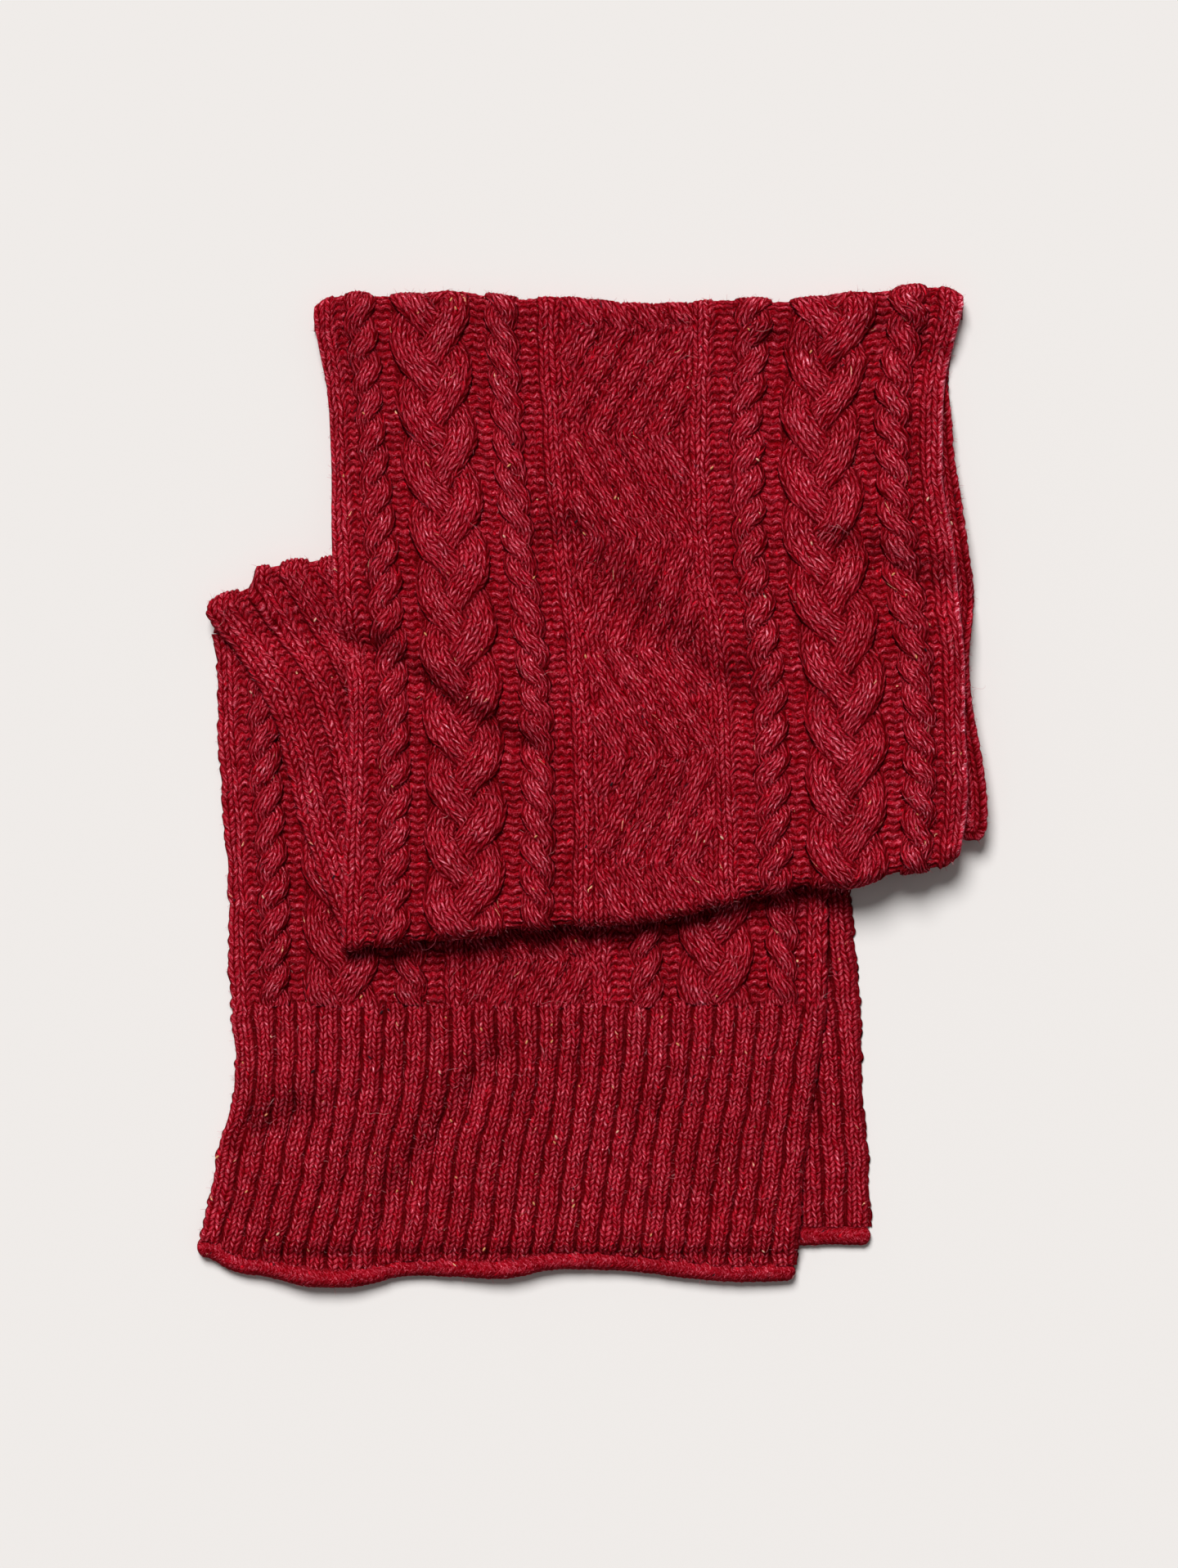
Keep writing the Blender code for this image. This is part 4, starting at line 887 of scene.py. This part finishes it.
RIB_COUNT = 27
RIB_ROW, RIB_ROWS = 3.15, 48  # height of a row, and rows enough to reach the hem
RIB_GROOVE = 1.6  # width of the groove between two ribs
RIB_WORK = [("slim", CLOTH_WIDTH / RIB_COUNT - RIB_GROOVE, 2, 1.7), ("groove", RIB_GROOVE, 1, 0.0)]
RIB_WORK = RIB_WORK * RIB_COUNT
RIB_END = [  # x, y
    (-219, -254), (-212, -254), (-197, -261.5), (-178, -265), (-156, -270), (-142, -271),
    (-121, -268.5), (-110, -265.5), (-98, -264.5), (-76, -264.5), (-46, -265.5), (-37, -264),
    (-20, -261), (-8, -260.5), (15, -261), (39, -263.5), (56, -265.5), (74, -267.5),
    (97, -267.5), (117, -267),
]
LOWER_CREASES = [  # depth, half width, line
    (6.5, 7.0, [(-54, -154), (-72, -180), (-90, -206), (-108, -230), (-116, -250)]),
    (2.8, 10.0, [(52, -174), (34, -190), (16, -210)]),
    (8.0, 12.0, [(-206, -194), (-184, -197), (-166, -188)]),
    (1.6, 9.0, [(55, -238), (87, -222)]),
]
LOWER_RIDGES = [  # height, half width, line
    (3.0, 11.0, [(-78, -150), (-96, -174), (-112, -204), (-126, -232)]),
    (5.0, 12.0, [(-206, -170), (-182, -175), (-158, -164)]),
]
CREASE_SHARE, INNER_SHARE = 0.85, 0.45  # of a crease's depth in the ribbing's two sides
RIB_WANDER, WANDER_SIZE = 2.2, 52.0  # ribs run a little crooked
WANDER_FADE = 30.0  # and start to over this distance
RIB_RELIEF_LOST = 0.5  # share of their relief that fades towards the cabled cloth
SEAM_FADE = 50.0  # over this distance the rows straighten out below their wavering start
CREASE_FADE = 20.0  # over this distance from its start and its hem the creases fade away
FLOOR_SHARE = 0.25  # of its thickness is how high it lies at least
HEM_TUCK = 1.5  # the ribbing runs this far in under its rolled hem
TUCK_THIN = 0.85  # share of its thickness that is left there
HEM_RISE, HEM_RISE_OVER = 4.8, 24.0  # it lies at least this high at the hem: how high, and over


def ribbing(across, along, thick):
    """Place of a point of the ribbing, along being measured down from its start, and its state."""
    u = across / CLOTH_WIDTH
    start = seam(between(LOWER_EDGES, u, RIB_START))
    y = RIB_START - along + (start - RIB_START) * (1 - along / SEAM_FADE).clip(0, 1)
    x = between(LOWER_EDGES, u, y)
    low = spline(RIB_END, x) + GAP - HEM_TUCK
    state = 1 * (y <= low)
    y = np.maximum(y, low)
    x = between(LOWER_EDGES, u, y)
    thick = thick * (TUCK_THIN + (1 - TUCK_THIN) * rise((y - low) / (2 * HEM_TUCK)))
    faded = RIB_RELIEF_LOST * (thick - WALL) * (thick > 0)
    thick = thick - faded * rise(1 - (RIB_START - y) / RELIEF_FADE)
    inside = rise(np.minimum(across, CLOTH_WIDTH - across) / (2 * ROLL_IN))
    wave = trough(x, y, LOWER_CREASES) - trough(x, y, LOWER_RIDGES)
    wave = wave * rise((RIB_START - y) / CREASE_FADE) * rise((y - low) / CREASE_FADE) * inside
    wander = RIB_WANDER * soft_noise(x, y, WANDER_SIZE, 5)
    x = x + wander * inside * rise((RIB_START - y) / WANDER_FADE)
    above = thick - np.where((thick > 0) | (wave < 0), CREASE_SHARE, INNER_SHARE) * wave
    height = np.maximum(lower_height(x, y), HEM_RISE * rise(1 - (y - low) / HEM_RISE_OVER))
    return np.stack([x, y, np.maximum(height + above, FLOOR_SHARE * thick)], axis=-1), state


rib_columns = work_columns(RIB_WORK)
rib_rows = np.arange(0, RIB_ROWS * FINE) / FINE
rib_end = knit_sheet("rib_cloth", ribbing, rib_columns, rib_rows, RIB_ROW, wool, 41)
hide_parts("rib_end")

HEM_SPAN = (-218.5, 115.5)  # x at both ends of the roll's middle line
HEM_WIDTH = 11.2
HEM_HEIGHTS = [  # x, height: it stands taller where it waves
    (-219, 8.5), (-190, 9.0), (-165, 11.5), (-142, 12.5), (-120, 10.0), (-100, 8.6), (-75, 10.0),
    (-50, 12.0), (-25, 11.0), (10, 9.2), (45, 9.4), (80, 10.2), (116, 9.0),
]
HEM_BACK = 4.5  # from the end of the ribbing to that line
ROLL_FLAT = 1.08  # the oval is this much taller than the roll, and cut flat below
HEM_LOOP = 3.15  # from loop to loop along the roll
LOOP_HEIGHT = 0.75
LOOP_POINTS, ROLL_POINTS = 5, 24  # points of the grid to a loop, and round the roll
PLUMP, PLUMP_SIZE = 0.06, 13.0  # the roll is thicker and thinner by this share, over this
HEM_SLANT = 1.25  # loops by which a loop's end is ahead of its middle
CAP = 5.0  # length of the rounded ends
CHAIN_WALES = 3  # chains of loops side by side round the roll


def roll(name, line, wide, highs, slant, seed):
    """A rolled hem: an oval tube along its middle line, flat below, with rounded ends. Its loops
    lie slanted side by side: LOOP_HEIGHT |sin(pi s)|^0.7 |sin(pi w)|^0.5, s counting loops along
    the roll less slant times the distance from the chain's middle, and w chains round it. highs
    is its height at each x."""
    length = np.concatenate([[0.0], np.cumsum(np.linalg.norm(np.diff(line, axis=0), axis=1))])
    s = np.linspace(0, length[-1], round(length[-1] / HEM_LOOP * LOOP_POINTS))
    x, y = np.interp(s, length, line[:, 0]), np.interp(s, length, line[:, 1])
    high = spline(highs, x)[:, None]
    heading = np.stack([np.gradient(x), np.gradient(y)], axis=1)
    heading = heading / np.linalg.norm(heading, axis=1)[:, None]
    near_end = np.clip(np.minimum(s, length[-1] - s) / CAP, 0.02, 1)
    size = np.sqrt(1 - (1 - near_end) ** 2)[:, None]
    around = np.linspace(0, 2 * math.pi, ROLL_POINTS + 1)[None, :-1]
    chain = CHAIN_WALES * (around / (2 * math.pi) - 0.25) + 0.5
    across = chain - np.floor(chain) - 0.5
    loops = s[:, None] / HEM_LOOP - slant * 2 * np.abs(across)
    uneven = np.random.default_rng(seed).uniform(*UNEVEN, 997)[np.floor(loops).astype(int) % 997]
    bump = LOOP_HEIGHT * uneven * np.abs(np.sin(math.pi * loops)) ** 0.7
    bump = bump * (0.25 + 0.75 * np.cos(math.pi * across) ** 0.5)
    plump = 1 + PLUMP * soft_noise(s[:, None], 0 * s[:, None], PLUMP_SIZE, seed)
    side = (wide / 2 * size * plump - LOOP_HEIGHT / 2 + bump) * np.cos(around)
    up = high / 2 + (high / 2 * size * plump - LOOP_HEIGHT / 2 + bump) * np.sin(around) * ROLL_FLAT
    points = np.stack([x[:, None] - heading[:, 1:] * side, y[:, None] + heading[:, :1] * side,
                       np.maximum(up, 0.0)], axis=-1)
    n, m = side.shape
    number = np.arange(n * m).reshape(n, m)
    wrapped = np.concatenate([number, number[:, :1]], axis=1)
    quads = np.stack([wrapped[:-1, :-1], wrapped[1:, :-1], wrapped[1:, 1:], wrapped[:-1, 1:]], -1)
    ends = [list(number[0]), list(number[-1])[::-1]]
    yarn = np.stack([across * wide + 0 * loops, loops * HEM_LOOP, np.floor(chain) + 0 * loops], -1)
    # Painted light on the hem: dark overall, lightest on the loops' tops, with painted shade
    # towards the roll's underside.
    painted_light = (0.12 + 0.30 * bump / LOOP_HEIGHT) * (0.7 + 0.3 * np.sin(around))
    return write_mesh(name, points.reshape(-1, 3), [quads.reshape(-1, 4), ends],
                      yarn.reshape(-1, 3), painted_light.ravel(), wool)


x = np.linspace(*HEM_SPAN, 120)
hem_roll = roll("hem_cloth", np.column_stack([x, spline(RIB_END, x) - HEM_BACK]), HEM_WIDTH,
                HEM_HEIGHTS, -HEM_SLANT, 51)
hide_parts("hem_roll")

# ----------------------------------------------------------------------------------------------
# Under stretch: the other end of the scarf, lowest of all, knitted as the first end is, with its
# own ribbing and rolled hem. Only its right side shows, so the ribs are worked there and the rest
# stays plain.

UNDER_SHOWN = 7  # ribs at its right side
UNDER_COLUMN = 51.0  # width of the part at its left that runs on upwards
PLAIN_WIDTH = CLOTH_WIDTH * (1 - UNDER_SHOWN / RIB_COUNT)
UNDER_WORK = [("under", PLAIN_WIDTH, 12, 0.0)] + RIB_WORK[:2 * UNDER_SHOWN]


def under(across, along, thick):
    """Place of a point of the under stretch, along being measured down from the top of its column
    at the left, and its state: -1 above its upper edge and 1 below its lower one."""
    u, y = across / CLOTH_WIDTH, UNDER_TOP - along
    top = np.where(across < UNDER_COLUMN, UNDER_TOP, lower_top(between(UNDER_EDGES, u, y)))
    low = UNDER_HEM_Y + UNDER_HEM_WIDTH / 2 - HEM_TUCK
    state = 1 * (y <= low) - (y >= top)
    y = np.clip(y, low, top)
    thick = thick * (TUCK_THIN + (1 - TUCK_THIN) * rise((y - low) / (2 * HEM_TUCK)))
    x = between(UNDER_EDGES, u, y)
    inside = rise(np.minimum(across, CLOTH_WIDTH - across) / (2 * ROLL_IN))
    x = x + RIB_WANDER * soft_noise(x, y, WANDER_SIZE, 6) * inside
    thick = np.where(thick == 0, 0, np.maximum(thick, LEAST_HEIGHT))
    return np.stack([x, y, thick + 0 * x], axis=-1), state


under_columns = work_columns(UNDER_WORK)
under_rows = np.arange(0, round((UNDER_TOP - UNDER_HEM_Y) / RIB_ROW + 2) * FINE) / FINE
under_stretch = knit_sheet("under_cloth", under, under_columns, under_rows, RIB_ROW, wool, 61)
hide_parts("under_stretch")
UNDER_HEM_SPAN = (-176.0, 157.5)
UNDER_HEM_HEIGHTS = [(-177, 6.2), (0, 6.2), (158, 6.2)]  # x, height
UNDER_HEM_WAVE, UNDER_HEM_WAVE_SIZE = 1.2, 40.0  # it wanders to and fro by this, over this
x = np.linspace(*UNDER_HEM_SPAN, 60)
y = UNDER_HEM_Y + UNDER_HEM_WAVE * soft_noise(x, 0 * x, UNDER_HEM_WAVE_SIZE, 7)
under_hem = roll("under_hem_cloth", np.column_stack([x, y]), UNDER_HEM_WIDTH, UNDER_HEM_HEIGHTS,
                 HEM_SLANT, 71)
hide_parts("under_hem_roll")

# ----------------------------------------------------------------------------------------------
# Hidden layers: the cloth folded up under the front panel, as one rounded packet. Its right edge
# shows beside the panel, and round its sides the edges of four layers lie on each other.

STRIP_EDGE = [  # y, x
    (-40, 214), (-30, 218.5), (-16, 219.5), (1, 218.5), (18, 216), (33, 213), (51, 210.5),
    (84, 210), (100, 213), (117, 211.5), (131, 209), (152, 206), (170, 203.5), (185, 200.5),
    (207, 200), (222, 197.5), (256, 203.5),
]
PACKET_INSET_TOP = 3.0  # from the panel's left selvedge, above the turned stretch's fold
INSET_FROM, INSET_OVER = 134.0, 10.0  # y at which the one inset becomes the other
PACKET_LOW = -34.0  # its lower end, right of the front panel
PACKET_BACK = 10.1  # from where the panel's folds start to turn, to the packet
LAYERS, LAYER_WIDTH = 4, 6.0  # layers at its side, and the width of cloth round each one's edge
TOP_WIDTH = 16.0  # width of the strip of stitches on its top
GROOVE = 2.2  # depth of the grooves between layers
LAYER, LEAST_GROOVE = 5.0, 0.2  # a full layer's height, and share of the depth where thinnest
STRIP_IN = 8.0  # it takes its height from the panel this far in from its edge
LEAST_TOP, LEAST_INNER = 2.0, 1.0  # height that its edge and its inner part keep at least
SIDE_RELIEF, SIDE_WAVE, SIDE_WAVE_SIZE = 0.7, 0.8, 30.0  # of the stitches, and how it wanders
RING_SHARES = (0.04, 0.25, 0.5, 0.72, 0.88)  # its inner rings, from its middle to its edge
STRIP_DROP = 3.4  # the strip's top lies this far below the front panel's underside
HIDDEN_DROP, HIDDEN_OVER = 3.5, 60.0  # and this much further left of that x, over that distance
INNER_DROP = 10.0  # and so far below the panel within
PACKET_FINE = 3  # lines of the grid to a row
PACKET_WORK = [("knit", TOP_WIDTH, 3, 0.7)] + [("knit", LAYER_WIDTH, 1, 0.0)] * LAYERS
ROUNDING = 9  # points over which its corners are rounded
KNOT = 7.8  # from knot to knot along its selvedge


def packet_outline():
    """Its edge seen from above, anticlockwise from the lower right corner, at even steps."""
    y = np.linspace(PACKET_LOW, 259.0, 100)
    right = np.column_stack([spline(STRIP_EDGE, y), y])
    x = np.linspace(200.0, -146.0, 100)
    top = np.column_stack([x, panel_folds(x)[1] - PACKET_BACK])
    y = np.linspace(258.0, -72.0, 100)
    inset = PACKET_INSET + (PACKET_INSET_TOP - PACKET_INSET) * rise((y - INSET_FROM) / INSET_OVER)
    left = np.column_stack([spline(PANEL_LEFT, y) + inset, y])
    x = np.linspace(-120.0, 206.0, 100)
    low = np.column_stack([x, panel_folds(x)[0] + PACKET_BACK])
    line = np.concatenate([right, top, left, low, right[:1]])
    length = np.concatenate([[0.0], np.cumsum(np.linalg.norm(np.diff(line, axis=0), axis=1))])
    count = round(length[-1] / ROW) * PACKET_FINE
    at = np.linspace(0, length[-1], count, endpoint=False)
    line = np.column_stack([np.interp(at, length, line[:, 0]), np.interp(at, length, line[:, 1])])
    near = range(-ROUNDING, ROUNDING + 1)
    return sum(np.roll(line, k, axis=0) for k in near) / len(near), length[-1] / count


def packet():
    """Top rings that follow the panel's underside, then stitches along the edge: on the top strip,
    and one column round each layer, whose edge stands out by BULGE and is parted by a groove."""
    line, step = packet_outline()
    tangent = np.roll(line, -2, axis=0) - np.roll(line, 2, axis=0)
    out = np.column_stack([tangent[:, 1], -tangent[:, 0]])
    out = out / np.linalg.norm(out, axis=1)[:, None]
    inner = line - STRIP_IN * out
    x = np.clip(inner[:, 0], spline(PANEL_LEFT, inner[:, 1]), spline(PANEL_RIGHT, inner[:, 1]))
    drop = STRIP_DROP + HIDDEN_DROP * rise((HIDDEN_OVER - inner[:, 0]) / HIDDEN_OVER)
    high = np.maximum(panel_height(x, inner[:, 1]) - drop, LEAST_TOP)

    columns = work_columns(PACKET_WORK)
    rows = np.arange(len(line)) / PACKET_FINE
    relief, painted_light_here = stitches(columns, rows, 81)
    v = columns["at"][None, :] - TOP_WIDTH
    layer = np.clip(np.floor(v / LAYER_WIDTH), 0, LAYERS - 1)
    t = np.clip(v / LAYER_WIDTH - layer, 0, 1)
    deep = np.clip(high[:, None] / (LAYERS * LAYER), LEAST_GROOVE, 1.0)
    round_edge = np.sin(math.pi * t) ** 0.6
    knots = BEAD * np.abs(np.sin(math.pi * (rows[:, None] * ROW / KNOT + 0.37 * layer))) ** 0.6
    side = -GROOVE * deep * (1 - round_edge) + BULGE * round_edge + knots * round_edge
    offset = np.where(v < 0, v - GROOVE * deep, side + SIDE_RELIEF * relief * round_edge)
    wander = SIDE_WAVE * soft_noise(rows[:, None] * ROW, layer * 50.0, SIDE_WAVE_SIZE, 82)
    offset = offset + wander * (v > 0)
    lean = columns["lean"][None, :] * PACKET_FINE
    at = np.arange(len(line))[:, None] - lean
    low, part = np.floor(at).astype(int) % len(line), (at - np.floor(at))[..., None]
    place = line[low] * (1 - part) + line[(low + 1) % len(line)] * part
    height = high[:, None] * (1 - (layer + t) / LAYERS)
    up = np.where(v < 0, high[:, None] + columns["lift"] + relief - 0.4, height)
    outward = out[low] * offset[..., None]
    edge = np.concatenate([place + outward, up[..., None]], axis=-1)
    edge[:, -1, 2] = 0.0

    centre = line.mean(axis=0)
    within = centre + (edge[:, :1, :2] - centre) * np.array(RING_SHARES)[None, :, None]
    under_panel = panel_height(within[..., 0], within[..., 1]) - INNER_DROP
    under_panel = np.maximum(under_panel, LEAST_INNER)
    within = np.concatenate([within, under_panel[..., None]], axis=-1)
    grid = np.concatenate([within, edge], axis=1)
    n, m = grid.shape[:2]
    number = np.arange(n * m).reshape(n, m)
    number = np.concatenate([number, number[:1]], axis=0)
    quads = np.stack([number[:-1, :-1], number[:-1, 1:], number[1:, 1:], number[1:, :-1]], -1)
    ends = [list(number[:-1, 0]), list(number[:-1, -1])[::-1]]
    yarn = np.zeros((n, m, 3))
    yarn[:, -columns["x"].size:, 0] = columns["x"]
    yarn[..., 1] = rows[:, None] * ROW
    yarn[:, -columns["x"].size:, 2] = columns["wale"] * WALE_YARN
    # Painted light: the rings within are painted darkest, and painted shade falls in the grooves
    # between the layers' edges.
    painted_light = np.zeros((n, m))
    painted_light[:, -columns["x"].size:] = painted_light_here * (0.4 + 0.6 * np.where(v < 0, 1, round_edge))
    return write_mesh("packet", grid.reshape(-1, 3), [quads.reshape(-1, 4), ends],
                      yarn.reshape(-1, 3), painted_light.ravel(), wool)


hidden_layers = packet()
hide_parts("hidden_layers")

# ----------------------------------------------------------------------------------------------
# Loose fibres: a short halo all over the wool, thickest along its edges, and long pale hairs that
# lie curled on it. Each is a thin closed prism.

HALO = {"count": 8200, "least": 0.9, "most": 3.0, "thick": 0.10, "steps": 2}
HAIR = {"count": 260, "least": 5.0, "most": 15.0, "thick": 0.09, "steps": 9}
FIBRE_LIFT = 0.4  # none lies lower than this on the floor, nor a hair on the wool
PIECES = [front_panel, front_ropes, front_plaits, front_travellers, turned_stretch, lower_stretch,
          lower_ropes, lower_plaits, lower_travellers, rib_end, hem_roll, under_stretch, under_hem,
          hidden_layers]


def wool_surface():
    """Points, normals and painted light of all the knitting, in millimetres in the tables' x and y.
    """
    points, normals, painted_lights = [], [], []
    for piece in PIECES:
        mesh = piece.data
        count = len(mesh.vertices)
        point, normal, painted_light = np.empty(3 * count), np.empty(3 * count), np.empty(count)
        mesh.vertices.foreach_get("co", point)
        mesh.vertex_normals.foreach_get("vector", normal)
        mesh.attributes["painted_light"].data.foreach_get("value", painted_light)
        points.append(point.reshape(-1, 3) / MM + np.array([*MIDDLE, 0.0]))
        normals.append(normal.reshape(-1, 3))
        painted_lights.append(painted_light)
    return np.concatenate(points), np.concatenate(normals), np.concatenate(painted_lights)


def unit(vectors):
    """Each vector divided by its length."""
    return vectors / np.linalg.norm(vectors, axis=-1, keepdims=True)


def prisms(name, paths, thick, finish):
    """Three-sided prisms along paths, an array of (fibre, step, xyz), with pointed-in ends."""
    count, steps = paths.shape[:2]
    heading = unit(np.gradient(paths, axis=1))
    side = unit(np.cross(heading, np.array([0.13, 0.21, 1.0])))
    up = np.cross(heading, side)
    angle = np.arange(3) * 2 * math.pi / 3
    taper = (thick * (1 - 0.6 * np.linspace(0, 1, steps)))[None, :, None, None]
    ring = side[:, :, None, :] * np.cos(angle)[:, None] + up[:, :, None, :] * np.sin(angle)[:, None]
    points = paths[:, :, None, :] + ring * taper
    number = np.arange(points.size // 3).reshape(count, steps, 3)
    after = np.roll(number, -1, axis=2)
    quads = np.stack([number[:, :-1], after[:, :-1], after[:, 1:], number[:, 1:]], -1)
    caps = np.concatenate([number[:, 0, ::-1], number[:, -1]])
    points = points.reshape(-1, 3)
    return write_mesh(name, points, [quads.reshape(-1, 4), caps], points, np.zeros(len(points)),
                      finish)


def fibre_material():
    """Pale pink to crimson fibres, each place of its own shade."""
    finish, tree, shader = new_material("loose_fibre", 0.7, 0.15)
    place = node(tree, "ShaderNodeTexCoord").outputs["Object"]
    shade = node(tree, "ShaderNodeTexNoise", {"Vector": place, "Scale": 160.0, "Detail": 1.0})
    tree.links.new(ramp(tree, shade.outputs["Fac"], [
        (0.35, (0.42, 0.03, 0.06, 1)), (0.55, (0.60, 0.12, 0.16, 1)),
        (0.72, (0.85, 0.42, 0.42, 1))]),
        shader["Base Color"])
    return finish


draw = np.random.default_rng(2024)
points, normals, painted_lights = wool_surface()
loose_fibre = fibre_material()

# Roots: points of the wool's sides, and of the raised stitches on its top
steep = np.nonzero((np.abs(normals[:, 2]) < 0.55) & (points[:, 2] > 1.0))[0]
level = np.nonzero((normals[:, 2] > 0.6) & (painted_lights > 0.45))[0]
roots = np.concatenate([draw.choice(steep, HALO["count"] * 2 // 3),
                        draw.choice(level, HALO["count"] // 3)])
ways = unit(unit(normals[roots] + [0, 0, 0.25]) + 0.9 * draw.normal(size=(len(roots), 3)))
ways[:, 2] = np.abs(ways[:, 2])
bends = draw.normal(size=(len(roots), 3)) * 0.35
lengths = draw.uniform(HALO["least"], HALO["most"], len(roots))
t = np.linspace(0, 1, HALO["steps"] + 1)[None, :, None]
curves = ways[:, None] * t + bends[:, None] * t * t
paths = points[roots][:, None] + lengths[:, None, None] * curves
paths[..., 2] = np.maximum(paths[..., 2], FIBRE_LIFT)
prisms("wool_halo", paths, HALO["thick"], loose_fibre)

roots = draw.choice(level, HAIR["count"])
t = np.linspace(0, 1, HAIR["steps"] + 1)[None, :]
lengths = draw.uniform(HAIR["least"], HAIR["most"], len(roots))[:, None]
heading = draw.uniform(0, 2 * math.pi, (len(roots), 1)) + draw.normal(0, 1.4, (len(roots), 1)) * t
heading = heading + draw.normal(0, 0.8, (len(roots), 1)) * np.sin(2 * math.pi * t)
pace = lengths / HAIR["steps"]
arch = draw.uniform(0.8, 2.4, (len(roots), 1)) * np.sin(math.pi * t) ** 0.5
runs = np.stack([np.cumsum(np.cos(heading) * pace, axis=1),
                 np.cumsum(np.sin(heading) * pace, axis=1),
                 FIBRE_LIFT + arch + 0 * heading], -1)
prisms("stray_hairs", points[roots][:, None] + runs, HAIR["thick"], loose_fibre)

# ----------------------------------------------------------------------------------------------
# Nubs: small tufts of undyed, orange, bright red and near-black wool. They are spun into the
# tweed yarn, and a few of them stand out of the stitches.

NUBS = 240
NUB_SIZE = (1.05, 0.50, 0.36)  # half length, half width, half height
NUB_RING, NUB_LIFT = 6, 0.12  # points round it and along it, and how high it lies on the stitch
NUB_TINTS = np.array([
    (0.72, 0.30, 0.13), (0.80, 0.42, 0.30), (0.62, 0.010, 0.030), (0.030, 0.010, 0.014)])
NUB_SHARES = (0.34, 0.22, 0.22, 0.22)


def nubs():
    """Small oval tufts: rings of 6 points, sin(b) wide and cos(b) along, laid on the stitches."""
    roots = draw.choice(level, NUBS)
    turn = math.pi / 2 + draw.choice([-1, 1], NUBS) * draw.uniform(0.3, 0.9, NUBS)
    size = draw.uniform(0.6, 1.25, NUBS)[:, None, None]
    b = np.linspace(0, math.pi, NUB_RING)[None, :, None]
    a = np.linspace(0, 2 * math.pi, NUB_RING, endpoint=False)[None, None, :]
    plump = np.sin(b).clip(0.12)
    long = size * NUB_SIZE[0] * (np.cos(b) + 0 * a)
    wide, high = size * NUB_SIZE[1] * plump * np.cos(a), size * NUB_SIZE[2] * plump * np.sin(a)
    cos, sin = np.cos(turn)[:, None, None], np.sin(turn)[:, None, None]
    made = np.stack([long * cos - wide * sin, long * sin + wide * cos, high + NUB_LIFT], -1)
    made = made + points[roots][:, None, None]
    number = np.arange(made.size // 3).reshape(made.shape[:3])
    after = np.roll(number, -1, axis=2)
    quads = np.stack([number[:, :-1], number[:, 1:], after[:, 1:], after[:, :-1]], -1)
    ends = [*number[:, 0], *number[:, -1, ::-1]]
    tint = NUB_TINTS[draw.choice(len(NUB_TINTS), NUBS, p=NUB_SHARES)]
    tint = np.broadcast_to(tint[:, None, None], made.shape).reshape(-1, 3)
    finish, tree, shader = new_material("nub_wool", 0.9, 0.1)
    own = node(tree, "ShaderNodeAttribute", attribute_name="yarn").outputs["Vector"]
    place = node(tree, "ShaderNodeTexCoord").outputs["Object"]
    grain = node(tree, "ShaderNodeTexNoise", {"Vector": place, "Scale": 2200.0})
    light = ramp(tree, grain.outputs["Fac"], [(0.3, (0.6, 0.6, 0.6, 1)), (0.7, (1.2, 1.2, 1.2, 1))])
    shaded = node(tree, "ShaderNodeVectorMath", {0: own, 1: light}, operation="MULTIPLY")
    tree.links.new(shaded.outputs[0], shader["Base Color"])
    return write_mesh("nubs", made.reshape(-1, 3), [quads.reshape(-1, 4), ends], tint,
                      np.zeros(len(tint)), finish)


nubs()

# ----------------------------------------------------------------------------------------------
# Floor, light and camera: a pale surface that the scarf lies on, one broad soft light from the
# top edge and a little from the left, the even light of the room, and a camera straight above.

FRAME_PIXELS = (1440, 1917)
PIXEL = 0.4575  # millimetres of the surface to a pixel of the frame
VIEW_AT = (0.23, 0.23)  # middle of the view in the tables' x and y
CAMERA_HEIGHT = 2600.0
SENSOR = 24.0
FLOOR_HALF = 3  # metres
FLOOR_COLOUR = (0.825, 0.796, 0.775, 1)
ROOM_COLOUR, ROOM_LIGHT = (1.0, 0.985, 0.97, 1), 0.16
SUN, SUN_ANGLE = 3.55, 28.0
SUN_TILT, SUN_TURN = 38.0, 17.0  # from straight above towards the top edge, then to the left

floor_mesh = bpy.data.meshes.new("floor")
corners = [(x * FLOOR_HALF, y * FLOOR_HALF, 0) for x, y in ((-1, -1), (1, -1), (1, 1), (-1, 1))]
floor_mesh.from_pydata(corners, [], [(0, 1, 2, 3)])
floor = put_in_scene("floor", floor_mesh)
paper, _, shader = new_material("pale_floor", 0.9)
shader["Base Color"].default_value = FLOOR_COLOUR
floor_mesh.materials.append(paper)

world = bpy.data.worlds.new("studio")
bpy.context.scene.world = world
world.use_nodes = True
world.node_tree.nodes["Background"].inputs["Color"].default_value = ROOM_COLOUR
world.node_tree.nodes["Background"].inputs["Strength"].default_value = ROOM_LIGHT

sun = bpy.data.lights.new("key", "SUN")
sun.energy = SUN
sun.angle = math.radians(SUN_ANGLE)
key = put_in_scene("key", sun)
key.rotation_euler = (math.radians(-SUN_TILT), 0.0, math.radians(SUN_TURN))

camera_data = bpy.data.cameras.new("camera")
camera_data.sensor_fit = "VERTICAL"
camera_data.sensor_height = SENSOR
camera_data.lens = SENSOR / 2 / (FRAME_PIXELS[1] * PIXEL / 2 / CAMERA_HEIGHT)
camera_data.clip_end = 20.0
camera = put_in_scene("camera", camera_data)
camera.location = (
    (VIEW_AT[0] - MIDDLE[0]) * MM, (VIEW_AT[1] - MIDDLE[1]) * MM, CAMERA_HEIGHT * MM)
bpy.context.scene.camera = camera
bpy.context.scene.view_settings.view_transform = "Standard"
